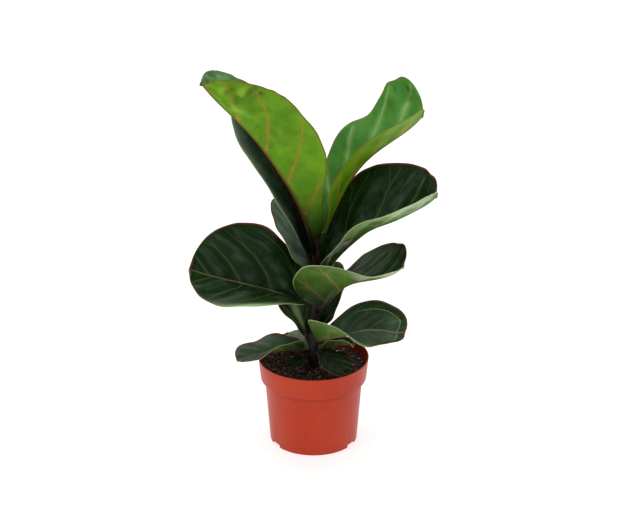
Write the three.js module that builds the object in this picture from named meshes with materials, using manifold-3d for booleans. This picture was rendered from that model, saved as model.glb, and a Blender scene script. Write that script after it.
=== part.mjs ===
// A young fiddle leaf fig in a 12 cm moulded plant pot.
// Millimetres, +Z up. The origin is on the pot's axis, on the surface that the pot stands on.
// The plant is seen from the front along +Y, so -Y is the front and +X the right.

import * as THREE from 'three';
import { mergeVertices } from 'three/addons/utils/BufferGeometryUtils.js';
import Module from 'manifold-3d';

const wasm = await Module();
wasm.setup();

const GAP = 0.3; // clearance between pieces that touch

const POT = {
  height: 97,
  rimRadius: 60, // outside, at the top edge
  bandRadius: 57.4, // outside, at the lower edge of the rim band
  bandHeight: 24,
  shoulderHeight: 2.4, // slanted step from the body out to the band
  neckRadius: 52.8, // outside of the body, just under the step
  footRadius: 47.4, // outside, at the bottom
  wall: 1.3,
  lipHeight: 1, // the rounded top edge
  lipInset: 0.3,
  footWall: 1.8,
  floorHeight: 4.6, // underside of the raised floor
  floorThickness: 1.6,
  sides: 48,
  notchAngles: [90, 210, 330], // cut-outs in the foot ring, degrees
  notchWidth: 9,
  notchHeight: 3.6,
  notchDepth: 8,
  drainCount: 6,
  drainRadius: 4.5,
  drainCircle: 29,
  drainSides: 12,
};

const SOIL = {
  top: 85,
  sides: POT.sides,
  inset: 0.48, // from the pot's facets, so that the clearance holds between them
  holeDepth: 38, // the stem's root end stands in it
  rings: [0.86, 0.7, 0.54, 0.38, 0.22], // of the surface, as shares of its radius
  bumpHeight: 1.3,
  bumpsAcross: 0.31, // radians per millimetre
  bumpsDeep: 0.27,
};

const STEM = {
  foot: SOIL.top - SOIL.holeDepth + GAP,
  baseRadius: 5,
  topRadius: 3.7,
  top: 238, // where the closed bud begins
  budLength: 26,
  budRadius: 3.9,
  budTaper: [[0.2, 1], [0.5, 0.75], [0.8, 0.36]], // shares of its length and of its radius
  lean: 3.2, // how far the top stands to the right of the root
  rings: 12,
  sides: 12,
};

const STALK = {
  radius: 2.3,
  rows: 2,
  footDrop: 12, // a steep stalk's foot reaches this far down the stem
};

const BLADE = {
  thickness: 0.7,
  ribFoot: 2.4, // half the width of the midrib under the blade
  ribDepth: 2.3, // at the base
  ribTipDepth: 0.3,
  ribShare: 0.4, // of a narrow blade's half, at most
  rows: 18,
  rowsToEnds: 0.9, // how strongly the rows crowd at the base and the tip
  tipCut: 0.9995, // the last row, as a share of the length
  stalkColumns: [0, 0.33, 0.67, 1], // across half a stalk
  bladeColumns: [0, 0, 0.48, 1], // across half a blade; the second one is the midrib's edge
  flattening: 6, // the stalk has opened to a blade where it is this much wider
  roundBase: 0.14, // share of the length over which the base rounds out
  waist: 0.12, // share of the length from which the blade swells
  waveAngle: 13, // radians of the margin's wave from the stalk to the tip
  waveShift: 2, // radians between the two margins' waves
};

// Every leaf starts on the stem at height z, heading to its azimuth (0 is right, 90 is back).
// Half is half its greatest width, at the share called widest of its length; base is the width
// near the stalk, and a higher tip value gives a squarer end.
// The lists run evenly from the stalk to the tip and are blended smoothly. Rise is the midrib's
// slope, turn its swing to the left, roll the tilt that lifts the left half, and fold the angle
// by which each half is raised, [left, right], all in degrees. Sweep moves the margins towards
// the tip, in millimetres, and trim narrows or widens each half.
const ORDINARY = {
  base: 0.5,
  widest: 0.6,
  tip: 2.3,
  turn: [0, 0],
  roll: [0, 0],
  sweep: [0, 0, 5],
  wave: 2,
  trim: [[1, 1], [1, 1]],
};
const SMALL = { ...ORDINARY, sweep: [0, 0, 2], wave: 1 };

const LEAVES = [
  {
    ...ORDINARY,
    name: 'leaf_top_left',
    z: 222, azimuth: 234, stalk: 12, length: 257, half: 61, base: 0.4, widest: 0.58,
    rise: [69, 70, 64, 58, 57, 53, 48, 48, 54],
    turn: [0, -10, -20, -24, -24],
    fold: [[55, 48], [66, 34]],
    trim: [[0.8, 0.8, 0.94, 1.05, 1.01, 0.97, 0.98, 1.06, 1.06, 1, 1], [0.7, 1, 1, 1, 1]],
  },
  {
    ...ORDINARY,
    name: 'leaf_top_right',
    z: 228, azimuth: 28, stalk: 12, length: 179, half: 55, widest: 0.78, tip: 4,
    rise: [68, 64, 61, 51, 38, 36, 50],
    turn: [0, -10, -25, -28],
    fold: [[42, 38, 42, 48], [34, 40, 38, 30]],
    sweep: [0, 0, 0, 0, 1, 8, 26],
    trim: [[1, 1, 1, 0.98, 0.95, 0.98, 0.95, 0.81, 0.95, 0.98, 1.1], [0.6, 1.25, 1.02, 0.75, 0.6]],
  },
  {
    ...ORDINARY,
    name: 'leaf_upper_back_left',
    z: 202, azimuth: 138, stalk: 12, length: 192, half: 52, base: 0.4,
    rise: [67, 57, 49, 51],
    fold: [[32, 25], [36, 22]],
    trim: [[1, 1, 0.95, 0.93, 0.84], [1, 1]],
  },
  {
    ...ORDINARY,
    name: 'leaf_middle_back_left',
    z: 186, azimuth: 120, stalk: 11, length: 97, half: 33,
    rise: [60, 48, 40],
    fold: [[35, 20], [42, 25]],
  },
  {
    ...ORDINARY,
    name: 'leaf_upper_right',
    z: 188, azimuth: -5, stalk: 12, length: 162, half: 58, base: 0.45, widest: 0.68, tip: 3,
    rise: [60, 54, 46, 40, 22, 28, 32, 46],
    fold: [[50, 60], [30, 28]],
    sweep: [0, 0, 2, 38],
    trim: [[1, 1.1, 1.2, 1.3, 1.25, 1.22, 1.12, 1.02, 0.89, 0.71, 0.7], [1, 1, 1, 0.9, 0.4]],
  },
  {
    ...ORDINARY,
    name: 'leaf_middle_left',
    z: 158, azimuth: 192, stalk: 11, length: 141, half: 55, base: 0.6, widest: 0.58, tip: 3.2,
    rise: [30, 22, 19, 24],
    roll: [-33, -33],
    fold: [[44, 30, 10], [33, 33]],
    trim: [[1, 1, 1.03, 0.97, 0.88, 0.85], [1, 1.1, 1.23, 1.24, 1.13, 1, 0.92]],
  },
  {
    ...ORDINARY,
    name: 'leaf_middle_front',
    z: 146, azimuth: -38, stalk: 10, length: 122, half: 50, base: 0.78, tip: 3,
    rise: [57, 56, 42, 10, 14, 44],
    turn: [0, 0, 20, 38, 42, 45],
    fold: [[55, 55, 20, 14, 26, 22], [60, 58, 50, 30, 28, 24]],
    sweep: [-2, 8, 8, 4, 7, 22, 40],
    trim: [
      [0.7, 0.8, 0.7, 0.6, 0.5, 0.68, 0.9, 1, 0.92, 0.82, 0.9],
      [1.1, 1.15, 1.22, 1.2, 1.08, 1, 1, 0.9, 0.7, 0.4, 0.2],
    ],
  },
  {
    ...ORDINARY,
    name: 'leaf_middle_back_right',
    z: 120, azimuth: 73, stalk: 9, length: 86, half: 26, base: 0.8, widest: 0.45,
    rise: [60, 44, 34],
    fold: [[60, 45], [38, 20]],
    trim: [[0.4, 0.6, 1], [1.3, 1.12, 1]],
  },
  {
    ...ORDINARY,
    name: 'leaf_lower_right',
    z: 119, azimuth: -68, stalk: 6, length: 111, half: 37, base: 0.75, tip: 2.6,
    rise: [22, 26, 24, 12, -6, -18],
    turn: [0, 34, 58, 60, 60, 60],
    fold: [[40, 35, 28, 26], [64, 62, 34, 0, -2, 0]],
    trim: [[0.4, 0.6, 0.87, 0.92, 0.96, 1], [1, 1.1, 1.25, 1.15, 1, 1]],
  },
  {
    ...ORDINARY,
    name: 'leaf_lower_back_left',
    z: 111, azimuth: 144, stalk: 8, length: 76, half: 28, base: 0.7, widest: 0.5,
    rise: [58, 50, 44],
    fold: [[30, 20], [60, 50]],
    trim: [[1, 1], [0.5, 0.95, 0.9]],
  },
  {
    ...ORDINARY,
    name: 'leaf_low_left',
    z: 102, azimuth: 198, stalk: 7, length: 83, half: 24, base: 0.6, widest: 0.62, tip: 2.6,
    rise: [28, 4, -6, -8],
    fold: [[70, 30, 8], [45, 20]],
    sweep: [0, 0, 2],
    trim: [[1, 1], [1, 1, 1, 1, 1, 0.93, 0.82, 0.72, 0.78, 0.92, 1]],
  },
  {
    ...SMALL,
    name: 'leaf_low_back_left',
    z: 97, azimuth: 126, stalk: 7, length: 46, half: 18,
    rise: [18, 6, 0],
    fold: [[25, 15], [25, 15]],
  },
  {
    ...SMALL,
    name: 'leaf_low_right',
    z: 103, azimuth: -14, stalk: 6, length: 42, half: 12, base: 0.6, widest: 0.55,
    rise: [40, 16, -8],
    fold: [[30, 20], [60, 40]],
  },
  {
    ...SMALL,
    name: 'leaf_low_front',
    z: 108, azimuth: -60, stalk: 8, length: 54, half: 20, widest: 0.58,
    rise: [6, -14, -26],
    turn: [0, 8, 12],
    fold: [[12, 8], [18, 12]],
  },
  {
    ...SMALL,
    name: 'leaf_low_front_left',
    z: 97, azimuth: 226, stalk: 6, length: 32, half: 11, widest: 0.55,
    rise: [12, -8, -14],
    fold: [[15, 10], [25, 15]],
  },
];
const YOUNG_LEAVES = ['leaf_top_left', 'leaf_top_right'];

const COLOURS = {
  pot: { color: 0xc04a33, roughness: 0.5 },
  soil: { color: 0x2a1d16, roughness: 1 },
  stem: { color: 0x5a3c2a, roughness: 0.8 },
  matureLeaf: { color: 0x1f4a2c, roughness: 0.4 },
  youngLeaf: { color: 0x6f9c2c, roughness: 0.4 },
};

const { lerp, mapLinear, smoothstep, clamp, degToRad } = THREE.MathUtils;
const plant = new THREE.Group();

// A smooth run through evenly spaced values, for s from 0 to 1.
function blend(values, s) {
  const last = values.length - 1;
  const place = clamp(s, 0, 1) * last;
  const i = Math.min(Math.floor(place), last - 1);
  const f = place - i;
  const at = (k) => values[clamp(k, 0, last)];
  const slopeIn = (at(i + 1) - at(i - 1)) / 2;
  const slopeOut = (at(i + 2) - at(i)) / 2;
  const step = at(i + 1) - at(i);
  const cubic = slopeIn + slopeOut - 2 * step;
  const square = 3 * step - 2 * slopeIn - slopeOut;
  return at(i) + f * (slopeIn + f * (square + f * cubic));
}

function meshGeometry(positions, index) {
  const geometry = new THREE.BufferGeometry();
  geometry.setAttribute('position', new THREE.Float32BufferAttribute(positions, 3));
  geometry.setIndex(index);
  return geometry;
}

function addMesh(parent, name, geometry, finish) {
  const mesh = new THREE.Mesh(geometry, new THREE.MeshStandardMaterial({ ...finish, metalness: 0 }));
  mesh.name = name;
  parent.add(mesh);
}

// The geometry as a solid that can be joined and cut.
function toSolid(geometry) {
  const bare = geometry.clone();
  bare.deleteAttribute('normal');
  bare.deleteAttribute('uv');
  const merged = mergeVertices(bare, 1e-4);
  const mesh = new wasm.Mesh({
    numProp: 3,
    vertProperties: new Float32Array(merged.attributes.position.array),
    triVerts: new Uint32Array(merged.index.array),
  });
  return new wasm.Manifold(mesh);
}

function fromSolid(solid) {
  const mesh = solid.getMesh();
  return meshGeometry(mesh.vertProperties, Array.from(mesh.triVerts));
}

// A turned body about +Z from [radius, height] pairs that run from the axis, round the
// outside and back to the axis.
function turned(profile, sides) {
  const points = profile.map(([radius, height]) => new THREE.Vector2(radius, height));
  return new THREE.LatheGeometry(points, sides).rotateX(Math.PI / 2);
}

const bandFoot = POT.height - POT.bandHeight;
const bodyTop = bandFoot - POT.shoulderHeight;
const floorTop = POT.floorHeight + POT.floorThickness;

function bodyRadius(z) {
  return mapLinear(z, 0, bodyTop, POT.footRadius, POT.neckRadius);
}

function bandRadius(z) {
  return mapLinear(z, bandFoot, POT.height, POT.bandRadius, POT.rimRadius);
}

function makePot() {
  const lipFoot = POT.height - POT.lipHeight;
  const lipRadius = POT.rimRadius - POT.lipInset;
  const outline = [
    [0, POT.floorHeight],
    [bodyRadius(POT.floorHeight) - POT.footWall, POT.floorHeight],
    [POT.footRadius - POT.footWall, 0],
    [POT.footRadius, 0],
    [POT.neckRadius, bodyTop],
    [POT.bandRadius, bandFoot],
    [lipRadius, lipFoot],
    [POT.rimRadius - POT.lipInset / 3, POT.height],
    [POT.rimRadius - POT.wall, POT.height],
    [lipRadius - POT.wall, lipFoot],
    [POT.bandRadius - POT.wall, bandFoot + POT.wall / 2],
    [POT.neckRadius - POT.wall, bodyTop + POT.wall / 2],
    [bodyRadius(floorTop) - POT.wall, floorTop],
    [0, floorTop],
  ];
  let pot = toSolid(turned(outline, POT.sides));
  for (const angle of POT.notchAngles) {
    const notch = new THREE.BoxGeometry(POT.notchDepth, POT.notchWidth, 2 * POT.notchHeight);
    notch.translate(POT.footRadius, 0, 0).rotateZ(degToRad(angle));
    pot = pot.subtract(toSolid(notch));
  }
  for (let i = 0; i < POT.drainCount; i += 1) {
    const depth = 3 * floorTop;
    const drain = new THREE.CylinderGeometry(POT.drainRadius, POT.drainRadius, depth, POT.drainSides);
    drain.rotateX(Math.PI / 2).translate(POT.drainCircle, 0, 0);
    drain.rotateZ((i / POT.drainCount) * 2 * Math.PI);
    pot = pot.subtract(toSolid(drain));
  }
  addMesh(plant, 'pot', fromSolid(pot), COLOURS.pot);
}

// The soil fills the pot to below its rim, with a plain hole for the stem's root end.
function makeSoil() {
  const inset = POT.wall + SOIL.inset;
  const holeRadius = STEM.baseRadius + GAP;
  const holeFloor = SOIL.top - SOIL.holeDepth;
  const stepTop = bandFoot + POT.wall;
  const edge = bandRadius(SOIL.top) - inset;
  const outline = [
    [0, floorTop + GAP],
    [bodyRadius(floorTop) - inset, floorTop + GAP],
    [POT.neckRadius - inset, bodyTop + POT.wall / 2],
    [bandRadius(stepTop) - inset, stepTop],
    [edge, SOIL.top],
    ...SOIL.rings.map((share) => [edge * share, SOIL.top]),
    [holeRadius, SOIL.top],
    [holeRadius, holeFloor],
    [0, holeFloor],
  ];
  const soil = turned(outline, SOIL.sides);
  const position = soil.attributes.position;
  for (let i = 0; i < position.count; i += 1) {
    const x = position.getX(i);
    const y = position.getY(i);
    const radius = Math.hypot(x, y);
    const onTop = position.getZ(i) > SOIL.top - GAP;
    if (onTop && radius > holeRadius + GAP && radius < edge - GAP) {
      const mounds = Math.sin(x * SOIL.bumpsAcross + 1) * Math.cos(y * SOIL.bumpsDeep);
      const ripples = Math.sin((x - y) * 2 * SOIL.bumpsDeep);
      position.setZ(i, SOIL.top + SOIL.bumpHeight * (mounds + ripples / 2));
    }
  }
  addMesh(plant, 'soil', soil, COLOURS.soil);
}

// How far the stem's centre line has moved to the right at a height.
function stemLean(z) {
  return STEM.lean * smoothstep(z, SOIL.top, STEM.top);
}

function stemRadius(z) {
  return mapLinear(Math.max(z, SOIL.top), SOIL.top, STEM.top, STEM.baseRadius, STEM.topRadius);
}

function makeStem() {
  const outline = [[0, STEM.foot], [STEM.baseRadius, STEM.foot], [STEM.baseRadius, SOIL.top]];
  for (let i = 1; i <= STEM.rings; i += 1) {
    const z = lerp(SOIL.top, STEM.top, i / STEM.rings);
    outline.push([stemRadius(z), z]);
  }
  for (const [height, width] of STEM.budTaper) {
    outline.push([STEM.budRadius * width, STEM.top + STEM.budLength * height]);
  }
  outline.push([0, STEM.top + STEM.budLength]);
  const stem = turned(outline, STEM.sides);
  const position = stem.attributes.position;
  for (let i = 0; i < position.count; i += 1) {
    position.setX(i, position.getX(i) + stemLean(position.getZ(i)));
  }
  addMesh(plant, 'stem', stem, COLOURS.stem);
}

// Half the blade's width as a share of its widest: a round base, a waist and a broad end.
function outlineShare(leaf, s) {
  const roundBase = Math.sqrt(1 - (1 - Math.min(s / BLADE.roundBase, 1)) ** 2);
  const swell = lerp(leaf.base, 1, smoothstep(s, BLADE.waist, leaf.widest));
  const beyond = Math.max(0, (s - leaf.widest) / (1 - leaf.widest));
  return roundBase * swell * Math.sqrt(Math.max(0, 1 - beyond ** leaf.tip));
}

// Where a leaf's stalk begins: just outside the stem, which is thicker lower down.
function stalkStart(leaf) {
  return stemRadius(leaf.z - STALK.footDrop) + GAP;
}

// The midrib as evenly spaced frames: a walk along it that follows its rise and turn.
function midribFrames(leaf) {
  const steps = 200;
  const frames = [];
  const point = new THREE.Vector3(stalkStart(leaf), 0, 0);
  for (let i = 0; i <= steps; i += 1) {
    const rise = degToRad(blend(leaf.rise, i / steps));
    const turn = degToRad(blend(leaf.turn, i / steps));
    const roll = degToRad(blend(leaf.roll, i / steps));
    const along = new THREE.Vector3().setFromSphericalCoords(1, Math.PI / 2 - rise, 0);
    along.set(along.z * Math.cos(turn), along.z * Math.sin(turn), along.y);
    const level = new THREE.Vector3(-Math.sin(turn), Math.cos(turn), 0);
    const side = level.clone().applyAxisAngle(along, roll);
    const up = along.clone().cross(side);
    frames.push({ point: point.clone(), along, side, up });
    point.addScaledVector(along, leaf.length / steps);
  }
  return (share) => frames[Math.round(share * steps)];
}

// A point of the blade's middle surface and its normal, at s along the blade and a distance
// out from the midrib. The left half has sideSign 1. On the stalk flatness is 0, on the blade 1.
function bladePoint(leaf, frame, s, sideSign, distance, width, flatness) {
  const half = sideSign > 0 ? 0 : 1;
  const out = distance / width;
  const fold = degToRad(blend(leaf.fold[half], s)) * flatness;
  const phase = s * BLADE.waveAngle + leaf.z + half * BLADE.waveShift;
  const wave = leaf.wave * out ** 2 * Math.sin(phase) * Math.sin(Math.PI * s) * flatness;
  const forward = blend(leaf.sweep, s) * (distance / leaf.half) * flatness;
  const point = frame.point
    .clone()
    .addScaledVector(frame.side, sideSign * distance * Math.cos(fold))
    .addScaledVector(frame.up, distance * Math.sin(fold) + wave)
    .addScaledVector(frame.along, forward);
  const lean = distance > 0 ? fold : 0;
  const normal = frame.up
    .clone()
    .multiplyScalar(Math.cos(lean))
    .addScaledVector(frame.side, -sideSign * Math.sin(lean));
  return { point, normal };
}

// The rows' places: along is a share of the whole leaf, s a share of its blade.
function rowPlaces(leaf) {
  const stalkShare = leaf.stalk / leaf.length;
  const places = [];
  for (let i = 0; i < STALK.rows; i += 1) {
    places.push({ along: (stalkShare * i) / STALK.rows, s: 0 });
  }
  for (let i = 0; i <= BLADE.rows; i += 1) {
    const even = i / BLADE.rows;
    const crowded = (1 - Math.cos(Math.PI * even)) / 2;
    const s = Math.min(lerp(even, crowded, BLADE.rowsToEnds), BLADE.tipCut);
    places.push({ along: lerp(stalkShare, 1, s), s });
  }
  return places;
}

// One row across the leaf, from its left margin to its right one, on the upper and lower face.
function leafRow(leaf, frame, s) {
  const fullWidth = Math.max(STALK.radius, leaf.half * outlineShare(leaf, s));
  const flatness = smoothstep(fullWidth, STALK.radius, STALK.radius + BLADE.flattening);
  const halfThick = BLADE.thickness / 2;
  const upper = [];
  const lower = [];
  const outermost = BLADE.bladeColumns.length - 1;
  for (let column = outermost; column >= -outermost; column -= 1) {
    const sideSign = column < 0 ? -1 : 1;
    const k = Math.abs(column);
    const width = Math.max(STALK.radius, fullWidth * blend(leaf.trim[sideSign > 0 ? 0 : 1], s));
    const ribEdge = Math.min(BLADE.ribFoot, BLADE.ribShare * width);
    const onBlade = k === 1 ? ribEdge : BLADE.bladeColumns[k] * width;
    const distance = lerp(BLADE.stalkColumns[k] * width, onBlade, flatness);
    const { point, normal } = bladePoint(leaf, frame, s, sideSign, distance, width, flatness);
    const round = STALK.radius * Math.sqrt(Math.max(0, 1 - (distance / width) ** 2));
    const rib = k === 0 ? lerp(BLADE.ribDepth, BLADE.ribTipDepth, s) : 0;
    const above = Math.max(halfThick, lerp(round, halfThick, flatness));
    const below = Math.max(halfThick, lerp(round, halfThick + rib, flatness));
    upper.push(point.clone().addScaledVector(normal, above));
    lower.push(point.clone().addScaledVector(normal, -below));
  }
  return { upper, lower, along: frame.along };
}

// Slides the stalk's foot along its own direction to the stem's round, at the clearance from it.
function seatStalk(row, radius) {
  const { along } = row;
  const a = along.x ** 2 + along.y ** 2;
  for (const point of [...row.upper, ...row.lower]) {
    const b = point.x * along.x + point.y * along.y;
    const c = point.x ** 2 + point.y ** 2 - radius ** 2;
    point.addScaledVector(along, (-b + Math.sqrt(Math.max(0, b * b - a * c))) / a);
  }
}

// The closed skin over the rows. Both faces are split along the same diagonals.
function leafSkin(rows) {
  const across = rows[0].upper.length;
  const last = rows.length - 1;
  const edge = across - 1;
  const positions = rows.flatMap((row) => [...row.upper, ...row.lower].flatMap((p) => p.toArray()));
  const upper = (r, c) => r * 2 * across + c;
  const lower = (r, c) => upper(r, c) + across;
  const index = [];
  const quad = (a, b, c, d) => index.push(a, b, d, b, c, d);
  for (let r = 0; r < last; r += 1) {
    for (let c = 0; c < edge; c += 1) {
      quad(upper(r, c), upper(r, c + 1), upper(r + 1, c + 1), upper(r + 1, c));
      quad(lower(r, c), lower(r + 1, c), lower(r + 1, c + 1), lower(r, c + 1));
    }
    quad(upper(r, 0), upper(r + 1, 0), lower(r + 1, 0), lower(r, 0));
    quad(upper(r, edge), lower(r, edge), lower(r + 1, edge), upper(r + 1, edge));
  }
  for (let c = 0; c < edge; c += 1) {
    quad(upper(0, c), lower(0, c), lower(0, c + 1), upper(0, c + 1));
    quad(upper(last, c), upper(last, c + 1), lower(last, c + 1), lower(last, c));
  }
  return meshGeometry(positions, index);
}

function makeLeaf(leaf) {
  const frameAt = midribFrames(leaf);
  const rows = rowPlaces(leaf).map(({ along, s }) => leafRow(leaf, frameAt(along), s));
  seatStalk(rows[0], stalkStart(leaf));
  const place = new THREE.Group();
  place.position.set(stemLean(leaf.z), 0, leaf.z);
  place.rotation.z = degToRad(leaf.azimuth);
  plant.add(place);
  const finish = YOUNG_LEAVES.includes(leaf.name) ? COLOURS.youngLeaf : COLOURS.matureLeaf;
  addMesh(place, leaf.name, leafSkin(rows), finish);
}

makePot();
makeSoil();
makeStem();
LEAVES.forEach(makeLeaf);

export default plant;
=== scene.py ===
"""A young fiddle leaf fig in a 12 cm plastic grower pot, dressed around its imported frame.

The leaves, the stem, the soil and the pot stand exactly where the frame has them. Each is made again
here with a fine surface, and what the frame leaves out is added: veins and quilting on the blades,
their coloured margins, bark and dry sheaths on the stem, and the crumbs, chips and grains of the soil.
"""

import logging
import math
import random
from dataclasses import dataclass, replace
from enum import Enum
from functools import partial
from typing import Callable, Sequence

import bmesh
import bpy
from mathutils import Matrix, Vector, noise


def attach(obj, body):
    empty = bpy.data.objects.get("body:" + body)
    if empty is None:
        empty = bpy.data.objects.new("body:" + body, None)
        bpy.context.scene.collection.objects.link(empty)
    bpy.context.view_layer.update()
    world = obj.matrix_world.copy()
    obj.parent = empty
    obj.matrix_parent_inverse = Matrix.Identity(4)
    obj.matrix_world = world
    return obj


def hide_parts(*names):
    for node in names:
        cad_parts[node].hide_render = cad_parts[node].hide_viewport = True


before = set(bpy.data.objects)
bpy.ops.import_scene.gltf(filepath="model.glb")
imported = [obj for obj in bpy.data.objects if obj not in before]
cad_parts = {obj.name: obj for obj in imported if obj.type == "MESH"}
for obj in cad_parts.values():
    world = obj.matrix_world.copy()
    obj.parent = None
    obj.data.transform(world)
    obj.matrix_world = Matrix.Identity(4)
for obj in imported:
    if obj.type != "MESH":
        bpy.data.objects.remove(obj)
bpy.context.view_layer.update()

LOG = logging.getLogger("fiddle_leaf_fig")

MM = 0.001  # metres
GAP = 0.3 * MM  # between the frame's touching pieces
NOISE_GAIN = 1.6  # brings noise.noise, which seldom passes 0.6, up to about 1

SMOOTH = {"interpolation_type": "SMOOTHSTEP"}  # a soft edge for a Map Range node
COLOURS = {"data_type": "RGBA"}  # a Mix node that mixes colours

Run = Sequence[float]  # values spread evenly from the stalk to the tip
Spot = tuple[float, float, float]

# What each point of a leaf tells its material. Lengths are in millimetres, and the rest are shares.
LEAF_LAYERS = (
    "across",  # from the midrib, positive on the left half
    "along",  # from the blade's foot
    "phase",  # side veins passed on the way
    "gap",  # between side veins
    "fork",  # from a side vein to its forks
    "margin",  # to the rim
    "on_stalk",
    "painted_sheen",  # painted sheen, greyish like wax
    # painted light and shade: the leaf's tone, the painted shade at its foot and its painted highlights
    "shade",
    "stain_and_painted_light",  # stain and painted shade, and a painted highlight where it is below 0
    "veined",  # how clear the veins are
    "ring",  # how strong the painted highlight on the crease round a dished inside is
)


def lerp(start: float, end: float, share: float) -> float:
    """Value at a share of the way from start to end."""
    return start + (end - start) * share


def ease(value: float, low: float, high: float) -> float:
    """Smooth step from 0 at low to 1 at high."""
    t = min(max((value - low) / (high - low), 0.0), 1.0)
    return t * t * (3 - 2 * t)


def blend(values: Run, s: float) -> float:
    """Smooth run through evenly spaced values.

    Args:
        values: The values, at equal steps from s = 0 to s = 1.
        s: Place along the run.

    Returns:
        The value at s, on a Catmull-Rom curve.
    """
    last = len(values) - 1
    place = min(max(s, 0.0), 1.0) * last
    i = min(int(place), last - 1)
    f = place - i
    before, start, end, after = (values[min(max(i + k, 0), last)] for k in (-1, 0, 1, 2))
    slope_in = (end - before) / 2
    slope_out = (after - start) / 2
    step = end - start
    cubic = slope_in + slope_out - 2 * step
    square = 3 * step - 2 * slope_in - slope_out
    return start + f * (slope_in + f * (square + f * cubic))


def hex_colour(text: str) -> tuple[float, float, float, float]:
    """Turns an sRGB hex value into a linear colour.

    Args:
        text: The hex value, such as "#c04a33".

    Returns:
        The colour, with alpha.
    """
    channels = [int(text[i : i + 2], 16) / 255 for i in (1, 3, 5)]
    linear = [c / 12.92 if c <= 0.04045 else ((c + 0.055) / 1.055) ** 2.4 for c in channels]
    return (*linear, 1.0)


def pattern_scale(size: float) -> float:
    """Scale of a pattern on Object coordinates whose patches are size millimetres across."""
    return 1000.0 / size


def output_of(source: object) -> object:
    """First open output of a node; a socket or a value is returned as it is."""
    if isinstance(source, bpy.types.Node):
        return next(socket for socket in source.outputs if socket.enabled)
    return source


def add_node(tree: bpy.types.NodeTree, kind: str, *values: object, **settings: object) -> bpy.types.Node:
    """Adds a shader node.

    Args:
        tree: Node tree that the node goes into.
        kind: Type of the node, without its ShaderNode prefix.
        *values: Values, nodes or sockets for the node's open inputs, in their order.
        **settings: Properties of the node.

    Returns:
        The new node.
    """
    node = tree.nodes.new("ShaderNode" + kind)
    for name, value in settings.items():
        setattr(node, name, value)
    open_inputs = [socket for socket in node.inputs if socket.enabled]
    for socket, source in zip(open_inputs, map(output_of, values)):
        if isinstance(source, bpy.types.NodeSocket):
            tree.links.new(source, socket)
        else:
            socket.default_value = source
    return node


def new_material(name: str) -> tuple[bpy.types.Material, bpy.types.NodeTree]:
    """Makes a material with one Principled shader.

    Args:
        name: Name of the real material.

    Returns:
        The material and its node tree.
    """
    material = bpy.data.materials.new(name)
    material.use_nodes = True
    return material, material.node_tree


def lay_over(node: Callable, ground: str, layers: Sequence[tuple[object, str]]) -> object:
    """Lays colours over one another.

    Args:
        node: Adds a node to the material.
        ground: Hex value of the lowest colour.
        layers: Share and hex value of each colour over it, from the bottom up.

    Returns:
        The colour that shows.
    """
    colour = hex_colour(ground)
    for share, over in layers:
        colour = node("Mix", share, colour, hex_colour(over), **COLOURS)
    return colour


def set_shader(tree: bpy.types.NodeTree, patterns: dict[str, object], constants: dict[str, object]) -> None:
    """Sets the inputs of a material's Principled shader.

    Args:
        tree: The material's node tree.
        patterns: Nodes for the inputs that change over the surface.
        constants: Values for the inputs that are the same all over it.
    """
    shader = tree.nodes["Principled BSDF"]
    for name, source in patterns.items():
        tree.links.new(output_of(source), shader.inputs[name])
    for name, value in constants.items():
        shader.inputs[name].default_value = value


def link_object(name: str, data: bpy.types.ID) -> bpy.types.Object:
    """Links a new object to the scene.

    Args:
        name: Name of the object.
        data: Its mesh, light or camera.

    Returns:
        The object.
    """
    linked = bpy.data.objects.new(name, data)
    bpy.context.scene.collection.objects.link(linked)
    return linked


def mesh_object(name: str, bm: bmesh.types.BMesh) -> bpy.types.Object:
    """Turns a bmesh into an object at the origin.

    Args:
        name: Name of the object.
        bm: The mesh. It is freed.

    Returns:
        The object.
    """
    mesh = bpy.data.meshes.new(name)
    bm.to_mesh(mesh)
    bm.free()
    return link_object(name, mesh)


def finish_piece(
    name: str, bm: bmesh.types.BMesh, materials: Sequence[bpy.types.Material], slot: str, *nodes: str
) -> bpy.types.Object:
    """Turns a bmesh into a finished piece of the plant.

    Args:
        name: Name of the piece.
        bm: The piece's mesh, in the frame's place. It is freed.
        materials: What the piece is made of, in the order of its faces' indices.
        slot: Name of the piece's material slot. It is not used.
        *nodes: Frame nodes that the piece stands for.

    Returns:
        The piece's object, at the origin, riding on the frame.
    """
    piece = mesh_object(name, bm)
    for material in materials:
        piece.data.materials.append(material)
    piece.data.shade_smooth()
    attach(piece, "root")
    if nodes:
        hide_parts(*nodes)
    LOG.info("%s: %d faces", name, len(piece.data.polygons))
    return piece


def spun(profile: Sequence[tuple[float, float]], steps: int) -> bmesh.types.BMesh:
    """Spins a profile round the Z axis.

    Args:
        profile: Radius and height of each point, in metres, from the axis round to the axis again.
        steps: Faces round the turn.

    Returns:
        The closed body of revolution.
    """
    bm = bmesh.new()
    verts = [bm.verts.new((radius, 0.0, height)) for radius, height in profile]
    edges = [bm.edges.new(pair) for pair in zip(verts, verts[1:])]
    bmesh.ops.spin(
        bm, geom=verts + edges, cent=(0, 0, 0), axis=(0, 0, 1), angle=math.tau, steps=steps, use_merge=True
    )
    bmesh.ops.remove_doubles(bm, verts=bm.verts, dist=0.01 * MM)
    bmesh.ops.recalc_face_normals(bm, faces=bm.faces)
    return bm


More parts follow.
